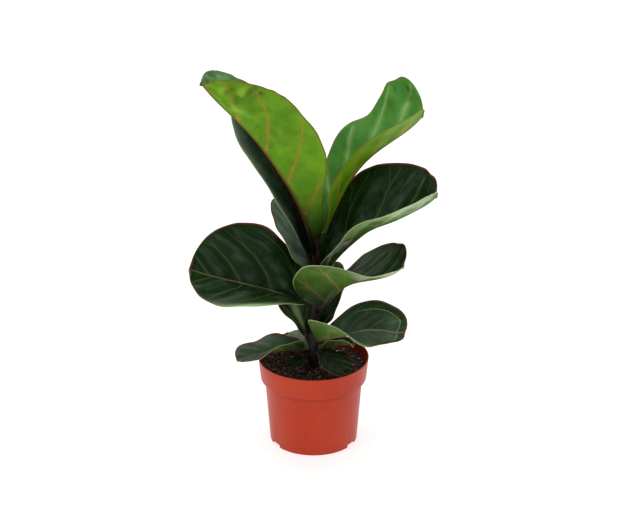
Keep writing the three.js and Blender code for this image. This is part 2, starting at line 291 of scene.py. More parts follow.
@dataclass
class Stem:
    """The slim woody stem, from its root end in the soil to the closed bud.

    Its line and its thickness are the frame's, because every leaf starts from them.
    """

    soil_top: float = 85 * MM
    foot: float = 47.3 * MM
    plain_below: float = 3 * MM  # how far under the soil's face the bark begins
    base_radius: float = 5 * MM
    top_radius: float = 3.7 * MM
    top: float = 238 * MM
    bud_length: float = 26 * MM
    bud_radius: float = 3.9 * MM
    bud_rings: int = 14
    bud_bluntness: float = 0.8
    lean: float = 3.2 * MM
    joint_swelling: float = 0.55 * MM
    joint_reach: float = 2.6 * MM
    ridge_height: float = 0.22 * MM
    ridge_width: float = 1.6 * MM
    ridge_share: float = 0.12  # a bark ridge's width as a share of its length
    ridge_start: float = 0.5 * MM  # distance from the axis
    faces_round: int = 40
    ring_step: float = 1.2 * MM

    def offset(self, z: float) -> float:
        """How far the stem's centre line has moved to the right at a height."""
        return self.lean * ease(z, self.soil_top, self.top)

    def radius(self, z: float) -> float:
        """The stem's radius at a height, without its joints."""
        share = (max(z, self.soil_top) - self.soil_top) / (self.top - self.soil_top)
        return lerp(self.base_radius, self.top_radius, share)

    def skin(self, z: float, joints: Sequence[float]) -> float:
        """Radius at a height with the ring of each leaf joint on it."""
        rings = sum(math.exp(-(((z - joint) / self.joint_reach) ** 2)) for joint in joints)
        return self.radius(z) + self.joint_swelling * min(rings, 1.0)

    def profile(self, joints: Sequence[float]) -> list[tuple[float, float]]:
        """Outline of half the stem, from the root end to the bud's tip.

        Args:
            joints: Heights at which leaves leave the stem.

        Returns:
            Radius and height of each ring.
        """
        points = [(0.0, self.foot), (self.base_radius, self.foot)]
        points.append((self.base_radius, self.soil_top - self.plain_below))
        rings = round((self.top - self.soil_top) / self.ring_step)
        heights = [lerp(self.soil_top, self.top, i / rings) for i in range(rings + 1)]
        points += [(self.skin(z, joints), z) for z in heights]
        for i in range(1, self.bud_rings):
            share = i / self.bud_rings
            taper = math.cos(share * math.pi / 2) ** self.bud_bluntness
            points.append((self.bud_radius * taper, self.top + self.bud_length * share))
        points.append((0.0, self.top + self.bud_length))
        return points

    def build(self, joints: Sequence[float], bark: bpy.types.Material) -> bpy.types.Object:
        """Builds the stem with its bud.

        Args:
            joints: Heights at which leaves leave the stem.
            bark: The stem's material.

        Returns:
            The stem.
        """
        bm = spun(self.profile(joints), self.faces_round)
        for vert in bm.verts:
            across = Vector((vert.co.x, vert.co.y, 0.0))
            place = Vector((across.x, across.y, vert.co.z * self.ridge_share)) / self.ridge_width
            if vert.co.z > self.soil_top and across.length > self.ridge_start:
                vert.co += across.normalized() * (self.ridge_height * noise.noise(place))
            vert.co.x += self.offset(vert.co.z)
        return finish_piece("stem_with_bud", bm, [bark], "stem_bark", "stem")


@dataclass
class Sheath:
    """A dry, papery scale that once closed a bud and now stands on the stem at a leaf's joint."""

    z: float
    azimuth: float
    length: float
    spread: float = 95.0  # degrees round the stem, at the foot
    bluntness: float = 0.7
    lean_out: float = 0.16  # how far the tip stands off, as a share of the length
    clear: float = 0.45 * MM
    foot_bow: float = 1.5 * MM  # how far the foot's corners hang down
    crinkle: float = 0.25 * MM
    rows: int = 16
    columns: int = 8
    thickness: float = 0.25 * MM

    def build(self, stem: Stem, paper: bpy.types.Material) -> bpy.types.Object:
        """Builds the scale, wrapped round the stem.

        Args:
            stem: The stem that carries it.
            paper: The scale's material.

        Returns:
            The scale.
        """
        bm = bmesh.new()
        bmesh.ops.create_grid(bm, x_segments=self.columns, y_segments=self.rows, size=0.5)
        for vert in bm.verts:
            across, up = vert.co.x * 2, vert.co.y + 0.5
            angle = math.radians(self.azimuth + across * self.spread * (1 - up) ** self.bluntness / 2)
            z = self.z + self.length * up - self.foot_bow * across**2 * (1 - up)
            crinkle = self.crinkle * math.sin(across * 7 + up * 9)
            radius = stem.radius(z) + self.clear + self.length * self.lean_out * up**2 + crinkle * up
            vert.co = Vector((stem.offset(z) + radius * math.cos(angle), radius * math.sin(angle), z))
        bmesh.ops.remove_doubles(bm, verts=bm.verts, dist=0.02 * MM)
        bmesh.ops.recalc_face_normals(bm, faces=bm.faces)
        bmesh.ops.solidify(bm, geom=bm.faces[:], thickness=self.thickness)
        return finish_piece(f"sheath_{round(self.z / MM)}", bm, [paper], "stem_bark")


class Age(Enum):
    """How old a leaf is, which sets its colour."""

    YOUNG = "young"
    MATURE = "mature"


@dataclass(frozen=True)
class Patch:
    """A soft-edged patch on a blade: a hollow, a stain, painted shade or highlight, or a place where the rim
    stands out.
    """

    s: float  # share of the blade's length
    out: float  # share of the half's width, positive on the left half
    depth: float  # depth of a hollow, height of a bulge, darkness of a stain or painted shade, or below 0 a painted highlight
    length: float
    width: float


@dataclass(frozen=True)
class Row:
    """One row across a leaf: its place, its directions and its width."""

    s: float
    point: Vector
    along: Vector
    side: Vector
    up: Vector
    full_width: float
    flatness: float  # 0 on the round stalk and 1 on the blade


@dataclass(frozen=True)
class Place:
    """One place on a row, on the left half or the right."""

    half: int  # 0 for the left half and 1 for the right
    sign: int  # 1 for the left half and -1 for the right
    share: float  # share of the half's columns
    width: float  # of this half
    distance: float  # from the midrib
    inside: float  # from the rim
    phase: float  # side veins passed on the way, a whole number and a half on each of them

    @property
    def out(self) -> float:
        """Distance from the midrib as a share of the half's width."""
        return self.distance / self.width


@dataclass
class Leaf:
    """A fiddle-shaped blade with its midrib and stalk, walked out from the stem.

    The numbers are the frame's, apart from some feet and tips that are fuller or rounder here. The
    lists run evenly from the stalk to the tip: rise is the midrib's slope, turn its swing to the left,
    roll its tilt, and fold the angle by which each half is raised, left and right, all in degrees.
    Sweep moves the margins towards the tip, and trim scales each half.
    """

    name: str
    z: float
    azimuth: float
    stalk: float
    length: float
    half: float
    rise: Run
    fold: tuple[Run, Run]
    base: float = 0.5
    widest: float = 0.6
    tip: float = 2.3
    turn: Run = (0, 0)
    roll: Run = (0, 0)
    sweep: Run = (0, 0, 5 * MM)
    end_round: float = 1.0  # below 1 where the sweep starts close to the midrib
    notch: float = 0.0  # how far the midrib's end stays back behind the rim
    wave: float = 2 * MM
    trim: tuple[Run, Run] = ((1, 1), (1, 1))
    age: Age = Age.MATURE
    vein_gap: float = 34 * MM  # between side veins, along the midrib
    vein_start: float = 0.2  # first vein, in gaps from the blade's base
    quilt: float = 1.1 * MM  # how far the blade bulges between its side veins
    pucker: Run = (0.3 * MM, 0.3 * MM)  # small bumps between the fine veins
    dish: float = 0.0  # how deep the inside lies under the rim
    ring: float = 0.0  # how strong the painted highlight on the crease round the dished inside is
    dents: tuple[Patch, ...] = ()  # hollows in the blade
    stains_and_painted_light: tuple[Patch, ...] = ()  # stains and painted shade above 0, painted highlights below it
    bulges: tuple[Patch, ...] = ()  # where the rim of one half stands out
    veined: float = 1.0  # how clear its veins are
    painted_sheen: Run = (0.0, 0.0)  # painted sheen on the upper side, greyish like wax, from the left rim to the right one
    tone: float = 1.0  # how light the leaf is beside the others of its age: its own colour and painted light and shade
    tip_tone: float = 1.0  # the tip's tone as a share of the foot's
    painted_foot_shade: float = 0.5  # painted shade: how dark the crowded foot of the blade is drawn
    shade_run: float = 45 * MM  # how far along the blade that painted shade fades out
    vein_lean: Run = (0.6, 0.7, 0.9)  # how far a side vein runs towards the tip for each millimetre out
    vein_bend: float = 0.9  # how much more it does so at the widest rim
    right_lean: float = 1.0  # the right half's share of this lean
    left_lag: float = 0.15  # how far the left half's veins lag behind the right half's, in gaps

    stalk_radius: float = 2.3 * MM
    stalk_rows: int = 7
    least_rows: int = 24
    row_step: float = 2.3 * MM
    row_crowding: float = 0.55  # how far the rows crowd together at the blade's foot and tip
    least_columns: int = 8
    column_step: float = 3.6 * MM
    foot_drop: float = 12 * MM
    foot_sink: float = 0.6 * MM  # how far the stalk's foot reaches into the stem's joint
    rib_foot: float = 2.4 * MM
    rib_tip: float = 0.9 * MM
    rib_depth: float = 2.3 * MM
    rib_tip_depth: float = 0.3 * MM
    groove: float = 0.5 * MM
    groove_tip: float = 0.15 * MM
    groove_width: float = 1.5 * MM
    thickness: float = 0.7 * MM
    edge_thickness: float = 0.4 * MM
    flattening: float = 6 * MM
    fold_width: float = 1.6 * MM  # how far from the midrib the fold is rounded
    round_base: float = 0.14
    waist: float = 0.12
    wave_angle: float = 13.0
    wave_shift: float = 2.0
    tip_cut: float = 0.9995
    crowding: float = 0.8  # how far the columns crowd together at the midrib and the rim
    ruffle: float = 0.012  # how far the rim bulges between its side veins, as a share of the width
    ruffle_lag: float = 0.4
    notch_width: float = 7 * MM
    quilt_start: float = 7 * MM  # distance from the midrib at which the quilting is full
    rim_calm: float = 0.75  # how far it dies away towards the rim
    calm_start: float = 0.55  # share of the half's width where that begins
    pucker_size: float = 9 * MM
    drift: float = 1.1 * MM  # broad unevenness of the blade towards its rim
    drift_size: float = 4.0  # its size, in small bumps
    dish_wall: tuple[float, float] = (2.5 * MM, 11 * MM)  # distances from the rim
    dish_start: tuple[float, float] = (0.2, 0.45)  # shares of the length over which the dish begins
    ring_start: tuple[float, float] = (0.4, 0.65)  # and over which its painted highlight does
    tip_reach: float = 0.8  # how near the tip counts, beside the rim
    fork_start: float = 0.55  # share of the half's width where a side vein forks
    fork_spread: float = 0.55
    least_margin: float = 0.1 * MM
    highlight_tone: float = 1.2  # tone that a painted highlight lifts the leaf to

    def outline(self, s: float) -> float:
        """Half the blade's width, as a share of the widest.

        Args:
            s: Share of the blade's length.

        Returns:
            The width at s.
        """
        round_base = math.sqrt(1 - (1 - min(s / self.round_base, 1)) ** 2)
        swell = lerp(self.base, 1.0, ease(s, self.waist, self.widest))
        beyond = max(0.0, (s - self.widest) / (1 - self.widest))
        return round_base * swell * math.sqrt(max(0.0, 1 - beyond**self.tip))

    def walk(self, start: float, steps: int = 240) -> list[tuple[Vector, Vector, Vector, Vector]]:
        """Walks along the midrib.

        Args:
            start: Distance of the stalk's foot from the stem's centre.
            steps: Steps of the walk.

        Returns:
            The point and the along, side and up directions at each step.
        """
        frames = []
        point = Vector((start, 0.0, 0.0))
        for i in range(steps + 1):
            angles = (blend(run, i / steps) for run in (self.rise, self.turn, self.roll))
            rise, turn, roll = map(math.radians, angles)
            heading = Vector((math.cos(turn), math.sin(turn), 0.0))
            along = heading * math.cos(rise) + Vector((0.0, 0.0, math.sin(rise)))
            level = Vector((-math.sin(turn), math.cos(turn), 0.0))
            side = Matrix.Rotation(roll, 3, along) @ level
            frames.append((point.copy(), along, side, along.cross(side)))
            point += along * (self.length / steps)
        return frames

    def rows(self, start: float) -> list[Row]:
        """Rows of the leaf, from the stalk's foot to the tip.

        Args:
            start: Distance of the stalk's foot from the stem's centre.

        Returns:
            The rows, closer together at both ends.
        """
        frames = self.walk(start)
        steps = len(frames) - 1
        stalk_share = self.stalk / self.length
        blade_rows = round(self.least_rows + self.length / self.row_step)
        places = [(stalk_share * i / self.stalk_rows, 0.0) for i in range(self.stalk_rows)]
        for i in range(blade_rows + 1):
            even = i / blade_rows
            crowded = (1 - math.cos(math.pi * even)) / 2
            s = min(lerp(even, crowded, self.row_crowding), self.tip_cut)
            places.append((lerp(stalk_share, 1.0, s), s))
        rows = []
        for share, s in places:
            i = min(int(share * steps), steps - 1)
            point, *ways = (a.lerp(b, share * steps - i) for a, b in zip(frames[i], frames[i + 1]))
            along, side, up = (way.normalized() for way in ways)
            full_width = max(self.stalk_radius, self.half * self.outline(s))
            flatness = ease(full_width, self.stalk_radius, self.stalk_radius + self.flattening)
            rows.append(Row(s, point, along, side, up, full_width, flatness))
        return rows

    def phase(self, row: Row, distance: float, half: int) -> float:
        """Side veins passed on the way to a point, a whole number and a half on each of them.

        Args:
            row: The row of the point.
            distance: Distance from the midrib.
            half: 0 for the left half and 1 for the right.

        Returns:
            The count.
        """
        lean = blend(self.vein_lean, row.s) + self.vein_bend * distance / (2 * self.half)
        lean *= self.right_lean if half else 1.0
        reach = row.s * (self.length - self.stalk) - distance * lean
        return reach / self.vein_gap - self.vein_start + (0.0 if half else self.left_lag)

    def patched(self, patches: Sequence[Patch], s: float, out: float) -> float:
        """Adds up patches at a place of the blade.

        Args:
            patches: The patches.
            s: Share of the blade's length.
            out: Share of the half's width, positive on the left half.

        Returns:
            The sum of their depths there.
        """
        depth = 0.0
        for patch in patches:
            away = ((s - patch.s) * self.length / patch.length) ** 2
            aside = ((out - patch.out) * self.half / patch.width) ** 2
            depth += patch.depth * math.exp(-away - aside)
        return depth

    def place(self, row: Row, share: float) -> Place:
        """Finds a column's place on a row.

        Args:
            row: The row.
            share: Signed share of the half's columns, positive on the left half.

        Returns:
            The place, with the rim's ruffles and bulges in its distance from the midrib.
        """
        half, sign = (0, 1) if share > 0 else (1, -1)
        k = abs(share)
        width = max(self.stalk_radius, row.full_width * blend(self.trim[half], row.s))
        on_stalk = width * math.sin(k * math.pi / 2)
        on_blade = width * lerp(k, ease(k, 0.0, 1.0), self.crowding)
        distance = lerp(on_stalk, on_blade, row.flatness)
        phase = self.phase(row, distance, half)
        bulge = self.patched(self.bulges, row.s, sign)
        inside = width - distance + bulge * (1 - k**3)
        ripple = math.cos(math.tau * (row.s * self.length / self.vein_gap + self.ruffle_lag * half))
        ruffle = self.ruffle * ripple * math.sin(math.pi * row.s) * row.flatness
        distance = distance * (1 + ruffle * k**3) + bulge * k**3
        return Place(half, sign, k, width, distance, inside, phase)

    def relief(self, row: Row, place: Place) -> float:
        """Height of the quilting, the small bumps, the dish and the dents.

        Args:
            row: The row.
            place: The place on it.

        Returns:
            The height over the plain blade.
        """
        calm = 1 - self.rim_calm * ease(place.out, self.calm_start, 1.0)
        inside = ease(place.distance, 0.0, self.quilt_start) * calm
        quilt = self.quilt * (0.5 + 0.5 * math.cos(math.tau * place.phase)) * inside
        spot = Vector((place.distance * place.sign, row.s * self.length, self.z)) / self.pucker_size
        pucker = blend(self.pucker, row.s) * noise.noise(spot) * NOISE_GAIN * inside
        drift = self.drift * noise.noise(spot / self.drift_size) * place.out
        to_margin = min(place.width - place.distance, (1 - row.s) * self.length * self.tip_reach)
        dish = -self.dish * ease(to_margin, *self.dish_wall) * ease(row.s, *self.dish_start)
        dent = self.patched(self.dents, row.s, place.out * place.sign)
        return (quilt + pucker + drift + dish - dent) * row.flatness

    def offset(self, row: Row, place: Place, below: bool) -> float:
        """Distance of a face from the middle of the blade.

        Args:
            row: The row.
            place: The place on it.
            below: Whether the face is the lower one, with the rib, or the upper one, with the groove.

        Returns:
            The distance, below 0 for the lower face.
        """
        round_half = self.stalk_radius * math.sqrt(max(0.0, 1 - place.share**2))
        flat_half = lerp(self.thickness, self.edge_thickness, place.share**3) / 2
        if below:
            width = lerp(self.rib_foot, self.rib_tip, row.s)
            rib = lerp(self.rib_depth, self.rib_tip_depth, row.s)
            rib *= math.sqrt(max(0.0, 1 - (place.distance / width) ** 2))
            return -max(flat_half, lerp(round_half, flat_half + rib, row.flatness))
        groove = lerp(self.groove, self.groove_tip, row.s)
        groove *= math.exp(-((place.distance / self.groove_width) ** 2)) * row.flatness
        return max(flat_half, lerp(round_half, flat_half, row.flatness)) - groove

    def point(self, row: Row, place: Place, below: bool) -> Vector:
        """Finds a point of the leaf's skin.

        Args:
            row: The row.
            place: The place on it.
            below: Whether the point is on the lower face.

        Returns:
            The point, before the leaf is turned to its azimuth.
        """
        fold = math.radians(blend(self.fold[place.half], row.s)) * row.flatness
        wave_phase = row.s * self.wave_angle + self.z / MM + place.half * self.wave_shift
        wave = self.wave * place.out**2 * math.sin(wave_phase) * math.sin(math.pi * row.s) * row.flatness
        forward = blend(self.sweep, row.s) * (place.distance / self.half) ** self.end_round * row.flatness
        held = math.exp(-((place.distance / self.notch_width) ** 2)) * ease(row.s, 0.85, 1.0)
        bend = fold * ease(place.distance, 0.0, self.fold_width)
        normal = row.up * math.cos(bend) - row.side * place.sign * math.sin(bend)
        return (
            row.point
            + row.side * (place.sign * place.distance * math.cos(fold))
            + row.up * (place.distance * math.sin(fold) + wave)
            + row.along * (forward - self.notch * held)
            + normal * (self.relief(row, place) + self.offset(row, place, below))
        )

    def readings(self, row: Row, place: Place) -> dict[str, float]:
        """What a place tells the leaf's material.

        Args:
            row: The row.
            place: The place on it.

        Returns:
            The value of each of the leaf's layers.
        """
        along = row.s * (self.length - self.stalk)
        ahead = max((1 - row.s) * self.length, self.least_margin)
        margin = (max(place.inside, self.least_margin) ** -4 + ahead**-4) ** -0.25 - 0.8 * self.least_margin
        stain_and_painted_light = self.patched(self.stains_and_painted_light, row.s, place.out * place.sign)
        # Painted shade darkens the crowded foot of the blade, and painted highlights lift its tone.
        lit = ease(along + 0.8 * place.distance, 0.0, self.shade_run)
        shade = self.tone * lerp(1.0, self.tip_tone, row.s) * lerp(1 - self.painted_foot_shade, 1.0, lit)
        return {
            "across": place.sign * place.distance / MM,
            "along": along / MM,
            "phase": place.phase,
            "gap": self.vein_gap / MM,
            "fork": max(0.0, place.share - self.fork_start) * place.width * self.fork_spread / MM,
            "margin": margin / MM,
            "on_stalk": 1 - row.flatness,
            "painted_sheen": blend(self.painted_sheen, 0.5 - 0.5 * place.share * place.sign),
            "shade": lerp(shade, max(shade, self.highlight_tone), min(max(-stain_and_painted_light, 0.0), 1.0)),
            "stain_and_painted_light": stain_and_painted_light,
            "veined": self.veined,
            "ring": self.ring * ease(row.s, *self.ring_start),
        }

    def shape(self, bm: bmesh.types.BMesh, rows: list[Row], columns: int) -> None:
        """Moves every vertex of the flat blank to its place on the leaf and writes its attributes.

        Args:
            bm: The blank: a grid with an upper and a lower layer.
            rows: The leaf's rows.
            columns: Cells across one half.
        """
        layers = {name: bm.verts.layers.float.new(name) for name in LEAF_LAYERS}
        last = len(rows) - 1
        for vert in bm.verts:
            row = rows[round((vert.co.y + 0.5) * last)]
            place = self.place(row, round(vert.co.x * 2 * columns) / columns)
            for name, value in self.readings(row, place).items():
                vert[layers[name]] = value
            vert.co = self.point(row, place, below=vert.co.z < -0.5)

    def seat(self, bm: bmesh.types.BMesh, first: Row, count: int, radius: float) -> None:
        """Slides the stalk's foot along its own direction on to the stem's round.

        Args:
            bm: The leaf's mesh, before it is turned to its azimuth.
            first: The leaf's first row.
            count: Vertices of the first row, on both faces.
            radius: The stem's radius there.
        """
        along = first.along
        a = along.x**2 + along.y**2
        bm.verts.ensure_lookup_table()
        nearest = sorted(bm.verts, key=lambda vert: (vert.co - first.point).dot(along))[:count]
        for vert in nearest:
            b = vert.co.x * along.x + vert.co.y * along.y
            c = vert.co.x**2 + vert.co.y**2 - radius**2
            vert.co += along * ((-b + math.sqrt(max(0.0, b * b - a * c))) / a)

    def build(self, stem: Stem, skins: dict[Age, list[bpy.types.Material]]) -> bpy.types.Object:
        """Builds the leaf where the frame has it.

        Args:
            stem: The stem that carries it.
            skins: Materials of the upper side and the underside for each age.

        Returns:
            The leaf.
        """
        rows = self.rows(stem.radius(self.z - self.foot_drop) + GAP)
        columns = round(self.least_columns + self.half / self.column_step)
        bm = bmesh.new()
        bmesh.ops.create_grid(bm, x_segments=2 * columns, y_segments=len(rows) - 1, size=0.5)
        grown = bmesh.ops.extrude_face_region(bm, geom=bm.faces[:], use_keep_orig=True)["geom"]
        lower = [part for part in grown if isinstance(part, bmesh.types.BMVert)]
        bmesh.ops.translate(bm, verts=lower, vec=(0, 0, -1))
        bmesh.ops.recalc_face_normals(bm, faces=bm.faces)
        for face in bm.faces:
            face.material_index = 0 if all(vert.co.z > -0.5 for vert in face.verts) else 1
        self.shape(bm, rows, columns)
        self.seat(bm, rows[0], 2 * (2 * columns + 1), stem.radius(self.z) - self.foot_sink)
        turned = Matrix.Rotation(math.radians(self.azimuth), 4, "Z")
        placed = Matrix.Translation((stem.offset(self.z), 0, self.z)) @ turned
        bmesh.ops.transform(bm, matrix=placed, verts=bm.verts)
        return finish_piece(self.name, bm, skins[self.age], f"leaf_{self.age.value}", self.name)


@dataclass(frozen=True)
class LeafFace:
    """One side of a fig leaf: leathery flesh under a thin waxy skin, with its net of veins.

    The waxy skin gives broad soft reflections that break up over the quilting and turn pale where the
    blade is seen edge on; painted sheen and painted highlights in the colour add to them. The side veins,
    the finer net between them and the midrib differ in colour and stand up or lie sunk, and a thin warmer
    line runs round the blade's rim. Sizes are in millimetres.
    """

    name: str
    flesh: str
    flesh_light: str
    vein: str
    midrib: str
    rim: str
    stalk: str
    roughness: float
    specular: float  # share of a plain skin's reflection, where a half is the whole of it
    relief: float  # above 0 where the veins stand up
    vein_share: float
    net_share: float
    glow_share: float  # how far the flesh beside a side vein takes its colour
    fork_share: float = 0.8  # how clear the forks of the side veins are
    # greyish colour of the painted sheen
    sheen_colour: str = "#7f9683"
    # colour of stains and painted shade
    stain_and_painted_light: str = "#2c2a14"
    # colour of painted highlights
    painted_highlight: str = "#93ab78"
    sheen_share: float = 1.0  # how much of the leaf's painted sheen this side shows
    crest_sheen_share: float = 0.0  # painted streaks of sheen on the crests between the side veins
    vein_width: float = 1.0
    vein_run: float = 45.0  # distance out over which a side vein thins
    vein_end: tuple[float, float] = (1.0, 9.0)  # distances from the rim between which it fades
    midrib_width: float = 1.4
    midrib_run: float = 220.0  # distance along the blade over which it thins
    rim_width: float = 1.5
    ring_place: float = 9.0  # from the rim to the painted highlight round a dished inside
    sheen: float = 0.0  # pale matt sheen that shows where the side is seen edge on
    see_through: float = 0.0  # share of the light that soaks through the flesh
    soak_depth: float = 1.2 * MM  # how far that light soaks in, in metres
    patch_size: float = 26.3  # lighter and darker flesh
    wander_size: float = 11.1  # bends of a side vein
    wander: float = 0.14  # how far it bends, as a share of the gap
    sheen_streak_length: float = 14.3  # painted streaks of sheen that run out beside the side veins
    sheen_streaks_in_gap: float = 2.6
    pore_size: float = 0.526  # drawn ten times as coarse as real so that it breaks up the gloss
    net_size: float = 5.2  # one mesh of the net
    fine_net_size: float = 1.7  # drawn twice as coarse as real so that it shows
    lean_factor: float = 0.78  # turns a distance along the midrib into one square to a side vein

    def build(self) -> bpy.types.Material:
        """Builds the material.

        Returns:
            The material of this side.
        """
        material, tree = new_material(self.name)
        node = partial(add_node, tree)
        at = {name: node("Attribute", attribute_name=name).outputs["Fac"] for name in LEAF_LAYERS}
        position = node("TexCoord").outputs["Object"]
        patches = node("TexNoise", position, pattern_scale(self.patch_size), 4.0, 0.62)
        patchy = node("MapRange", patches, 0.3, 0.72, **SMOOTH)
        side_vein, glow, crest = self.side_veins(node, at, position)
        veins = self.all_veins(node, at, side_vein)
        midrib = self.midrib_line(node, at)
        layers = (
            (patchy, self.flesh_light),
            (glow, self.vein),
            # painted sheen
            (self.sheen_film(node, at, patchy, crest), self.sheen_colour),
            # painted highlight along the crease round a dish
            (self.ring_line(node, at), self.painted_highlight),
            (veins, self.vein),
            (midrib, self.midrib),
            (self.rim_line(node, at), self.rim),
            # stains and painted shade, then painted highlights
            (at["stain_and_painted_light"], self.stain_and_painted_light),
            (node("Math", at["stain_and_painted_light"], -1.0, operation="MULTIPLY", use_clamp=True), self.painted_highlight),
            (at["on_stalk"], self.stalk),
        )
        colour = lay_over(node, self.flesh, layers)
        pores = node("TexNoise", position, pattern_scale(self.pore_size), 2.0)
        raised = node("Math", veins, midrib, operation="MAXIMUM")
        height = node("Math", raised, self.relief, operation="MULTIPLY")
        height = node("Math", pores, 0.05, height, operation="MULTIPLY_ADD")
        patterns = {
            # painted light and shade: the shade attribute sets the colour's value
            "Base Color": node("HueSaturation", 0.5, 1.0, at["shade"], 1.0, colour),
            "Roughness": node("Math", patchy, 0.12, self.roughness - 0.06, operation="MULTIPLY_ADD"),
            "Normal": node("Bump", 0.75, 0.6 * MM, height),
        }
        constants = {
            "IOR": 1.45,
            "Specular IOR Level": self.specular,
            "Sheen Weight": self.sheen,
            "Sheen Roughness": 0.45,
            "Subsurface Weight": self.see_through,
            "Subsurface Radius": (1.0, 1.0, 0.35),
            "Subsurface Scale": self.soak_depth,
        }
        set_shader(tree, patterns, constants)
        return material

    def side_veins(self, node: Callable, at: dict, position: object) -> tuple[object, object, object]:
        """Lines of the side veins, with a fork towards the rim.

        Args:
            node: Adds a node to the material.
            at: The blade's attributes.
            position: Place on the plant.

        Returns:
            Share of the vein's colour on the veins, share beside them, and share on the crests between.
        """
        wander = node("TexNoise", position, pattern_scale(self.wander_size), 2.0)
        shaken = node("Math", wander, self.wander, at["phase"], operation="MULTIPLY_ADD")
        centred = node("Math", shaken, 0.5 - self.wander / 2, operation="ADD")
        from_vein = node("Math", centred, 0.5, operation="PINGPONG")
        to_vein = node("Math", from_vein, at["gap"], operation="MULTIPLY")
        to_vein = node("Math", to_vein, self.lean_factor, operation="MULTIPLY")
        to_fork = node("Math", to_vein, at["fork"], operation="SUBTRACT")
        to_fork = node("Math", to_fork, operation="ABSOLUTE")
        aside = node("Math", at["across"], operation="ABSOLUTE")
        taper = node("MapRange", aside, 0.0, self.vein_run, self.vein_width, 0.4 * self.vein_width)
        reach = node("MapRange", at["margin"], *self.vein_end, **SMOOTH)
        lines = []
        for distance, share in ((to_vein, self.vein_share), (to_fork, self.vein_share * self.fork_share)):
            close = node("Math", distance, taper, operation="DIVIDE")
            lines.append(node("MapRange", close, 0.3, 1.15, share, 0.0, **SMOOTH))
        line = node("Math", node("Math", *lines, operation="MAXIMUM"), reach, operation="MULTIPLY")
        beside = node("Math", to_vein, taper, operation="DIVIDE")
        glow = node("MapRange", beside, 0.5, 5.0, self.glow_share, 0.0, **SMOOTH)
        glow = node("Math", glow, reach, operation="MULTIPLY")
        crest = node("MapRange", from_vein, 0.12, 0.4, **SMOOTH)
        return line, glow, node("Math", crest, reach, operation="MULTIPLY")

    def all_veins(self, node: Callable, at: dict, side_vein: object) -> object:
        """Side veins with the two nets of smaller veins between them.

        Args:
            node: Adds a node to the material.
            at: The blade's attributes.
            side_vein: Share on the side veins.

        Returns:
            Share of the vein's colour.
        """
        veins = side_vein
        nets = ((self.net_size, 0.09, self.net_share), (self.fine_net_size, 0.12, 0.4 * self.net_share))
        for size, width, share in nets:
            net = node("Math", self.net(node, at, size, width), share, operation="MULTIPLY")
            veins = node("Math", veins, net, operation="MAXIMUM")
        return node("Math", veins, at["veined"], operation="MULTIPLY")

    def net(self, node: Callable, at: dict, size: float, width: float) -> object:
        """Net of small veins that lies in the blade's own surface.

        Args:
            node: Adds a node to the material.
            at: The blade's attributes.
            size: Size of one mesh.
            width: Width of a vein, as a share of the size.

        Returns:
            Share that is 1 on a vein.
        """
        flat = node("CombineXYZ", at["across"], at["along"])
        warp = node("TexNoise", flat, 0.7 / size, 1.0).outputs["Color"]
        moved = node("VectorMath", warp, (size,) * 3, flat, operation="MULTIPLY_ADD")
        cells = node("TexVoronoi", moved, 1 / size, feature="DISTANCE_TO_EDGE", voronoi_dimensions="2D")
        return node("MapRange", cells, 0.0, width, 1.0, 0.0, **SMOOTH)

    def midrib_line(self, node: Callable, at: dict) -> object:
        """Line of the midrib, which narrows towards the tip.

        Args:
            node: Adds a node to the material.
            at: The blade's attributes.

        Returns:
            Share that is 1 on the midrib.
        """
        aside = node("Math", at["across"], operation="ABSOLUTE")
        thin = 0.5 * self.midrib_width
        width = node("MapRange", at["along"], 0.0, self.midrib_run, self.midrib_width, thin)
        aside = node("Math", aside, width, operation="DIVIDE")
        line = node("MapRange", aside, 0.5, 1.1, 1.0, 0.0, **SMOOTH)
        return node("Math", line, at["veined"], operation="MULTIPLY")

    def rim_line(self, node: Callable, at: dict) -> object:
        """Thin line round the blade's rim.

        Args:
            node: Adds a node to the material.
            at: The blade's attributes.

        Returns:
            Share of the rim's colour.
        """
        half = self.rim_width / 2
        line = node("MapRange", at["margin"], half, 1.6 * half + 0.4, 0.9, 0.0, **SMOOTH)
        return node("Math", line, at["veined"], operation="MULTIPLY")

    def ring_line(self, node: Callable, at: dict) -> object:
        """Painted highlight along the crease round a dished inside.

        Args:
            node: Adds a node to the material.
            at: The blade's attributes.

        Returns:
            Share of the painted highlight.
        """
        off_ring = node("Math", at["margin"], self.ring_place, operation="SUBTRACT")
        off_ring = node("Math", off_ring, operation="ABSOLUTE")
        line = node("MapRange", off_ring, 0.2, 1.0, 0.8, 0.0, **SMOOTH)
        return node("Math", line, at["ring"], operation="MULTIPLY")

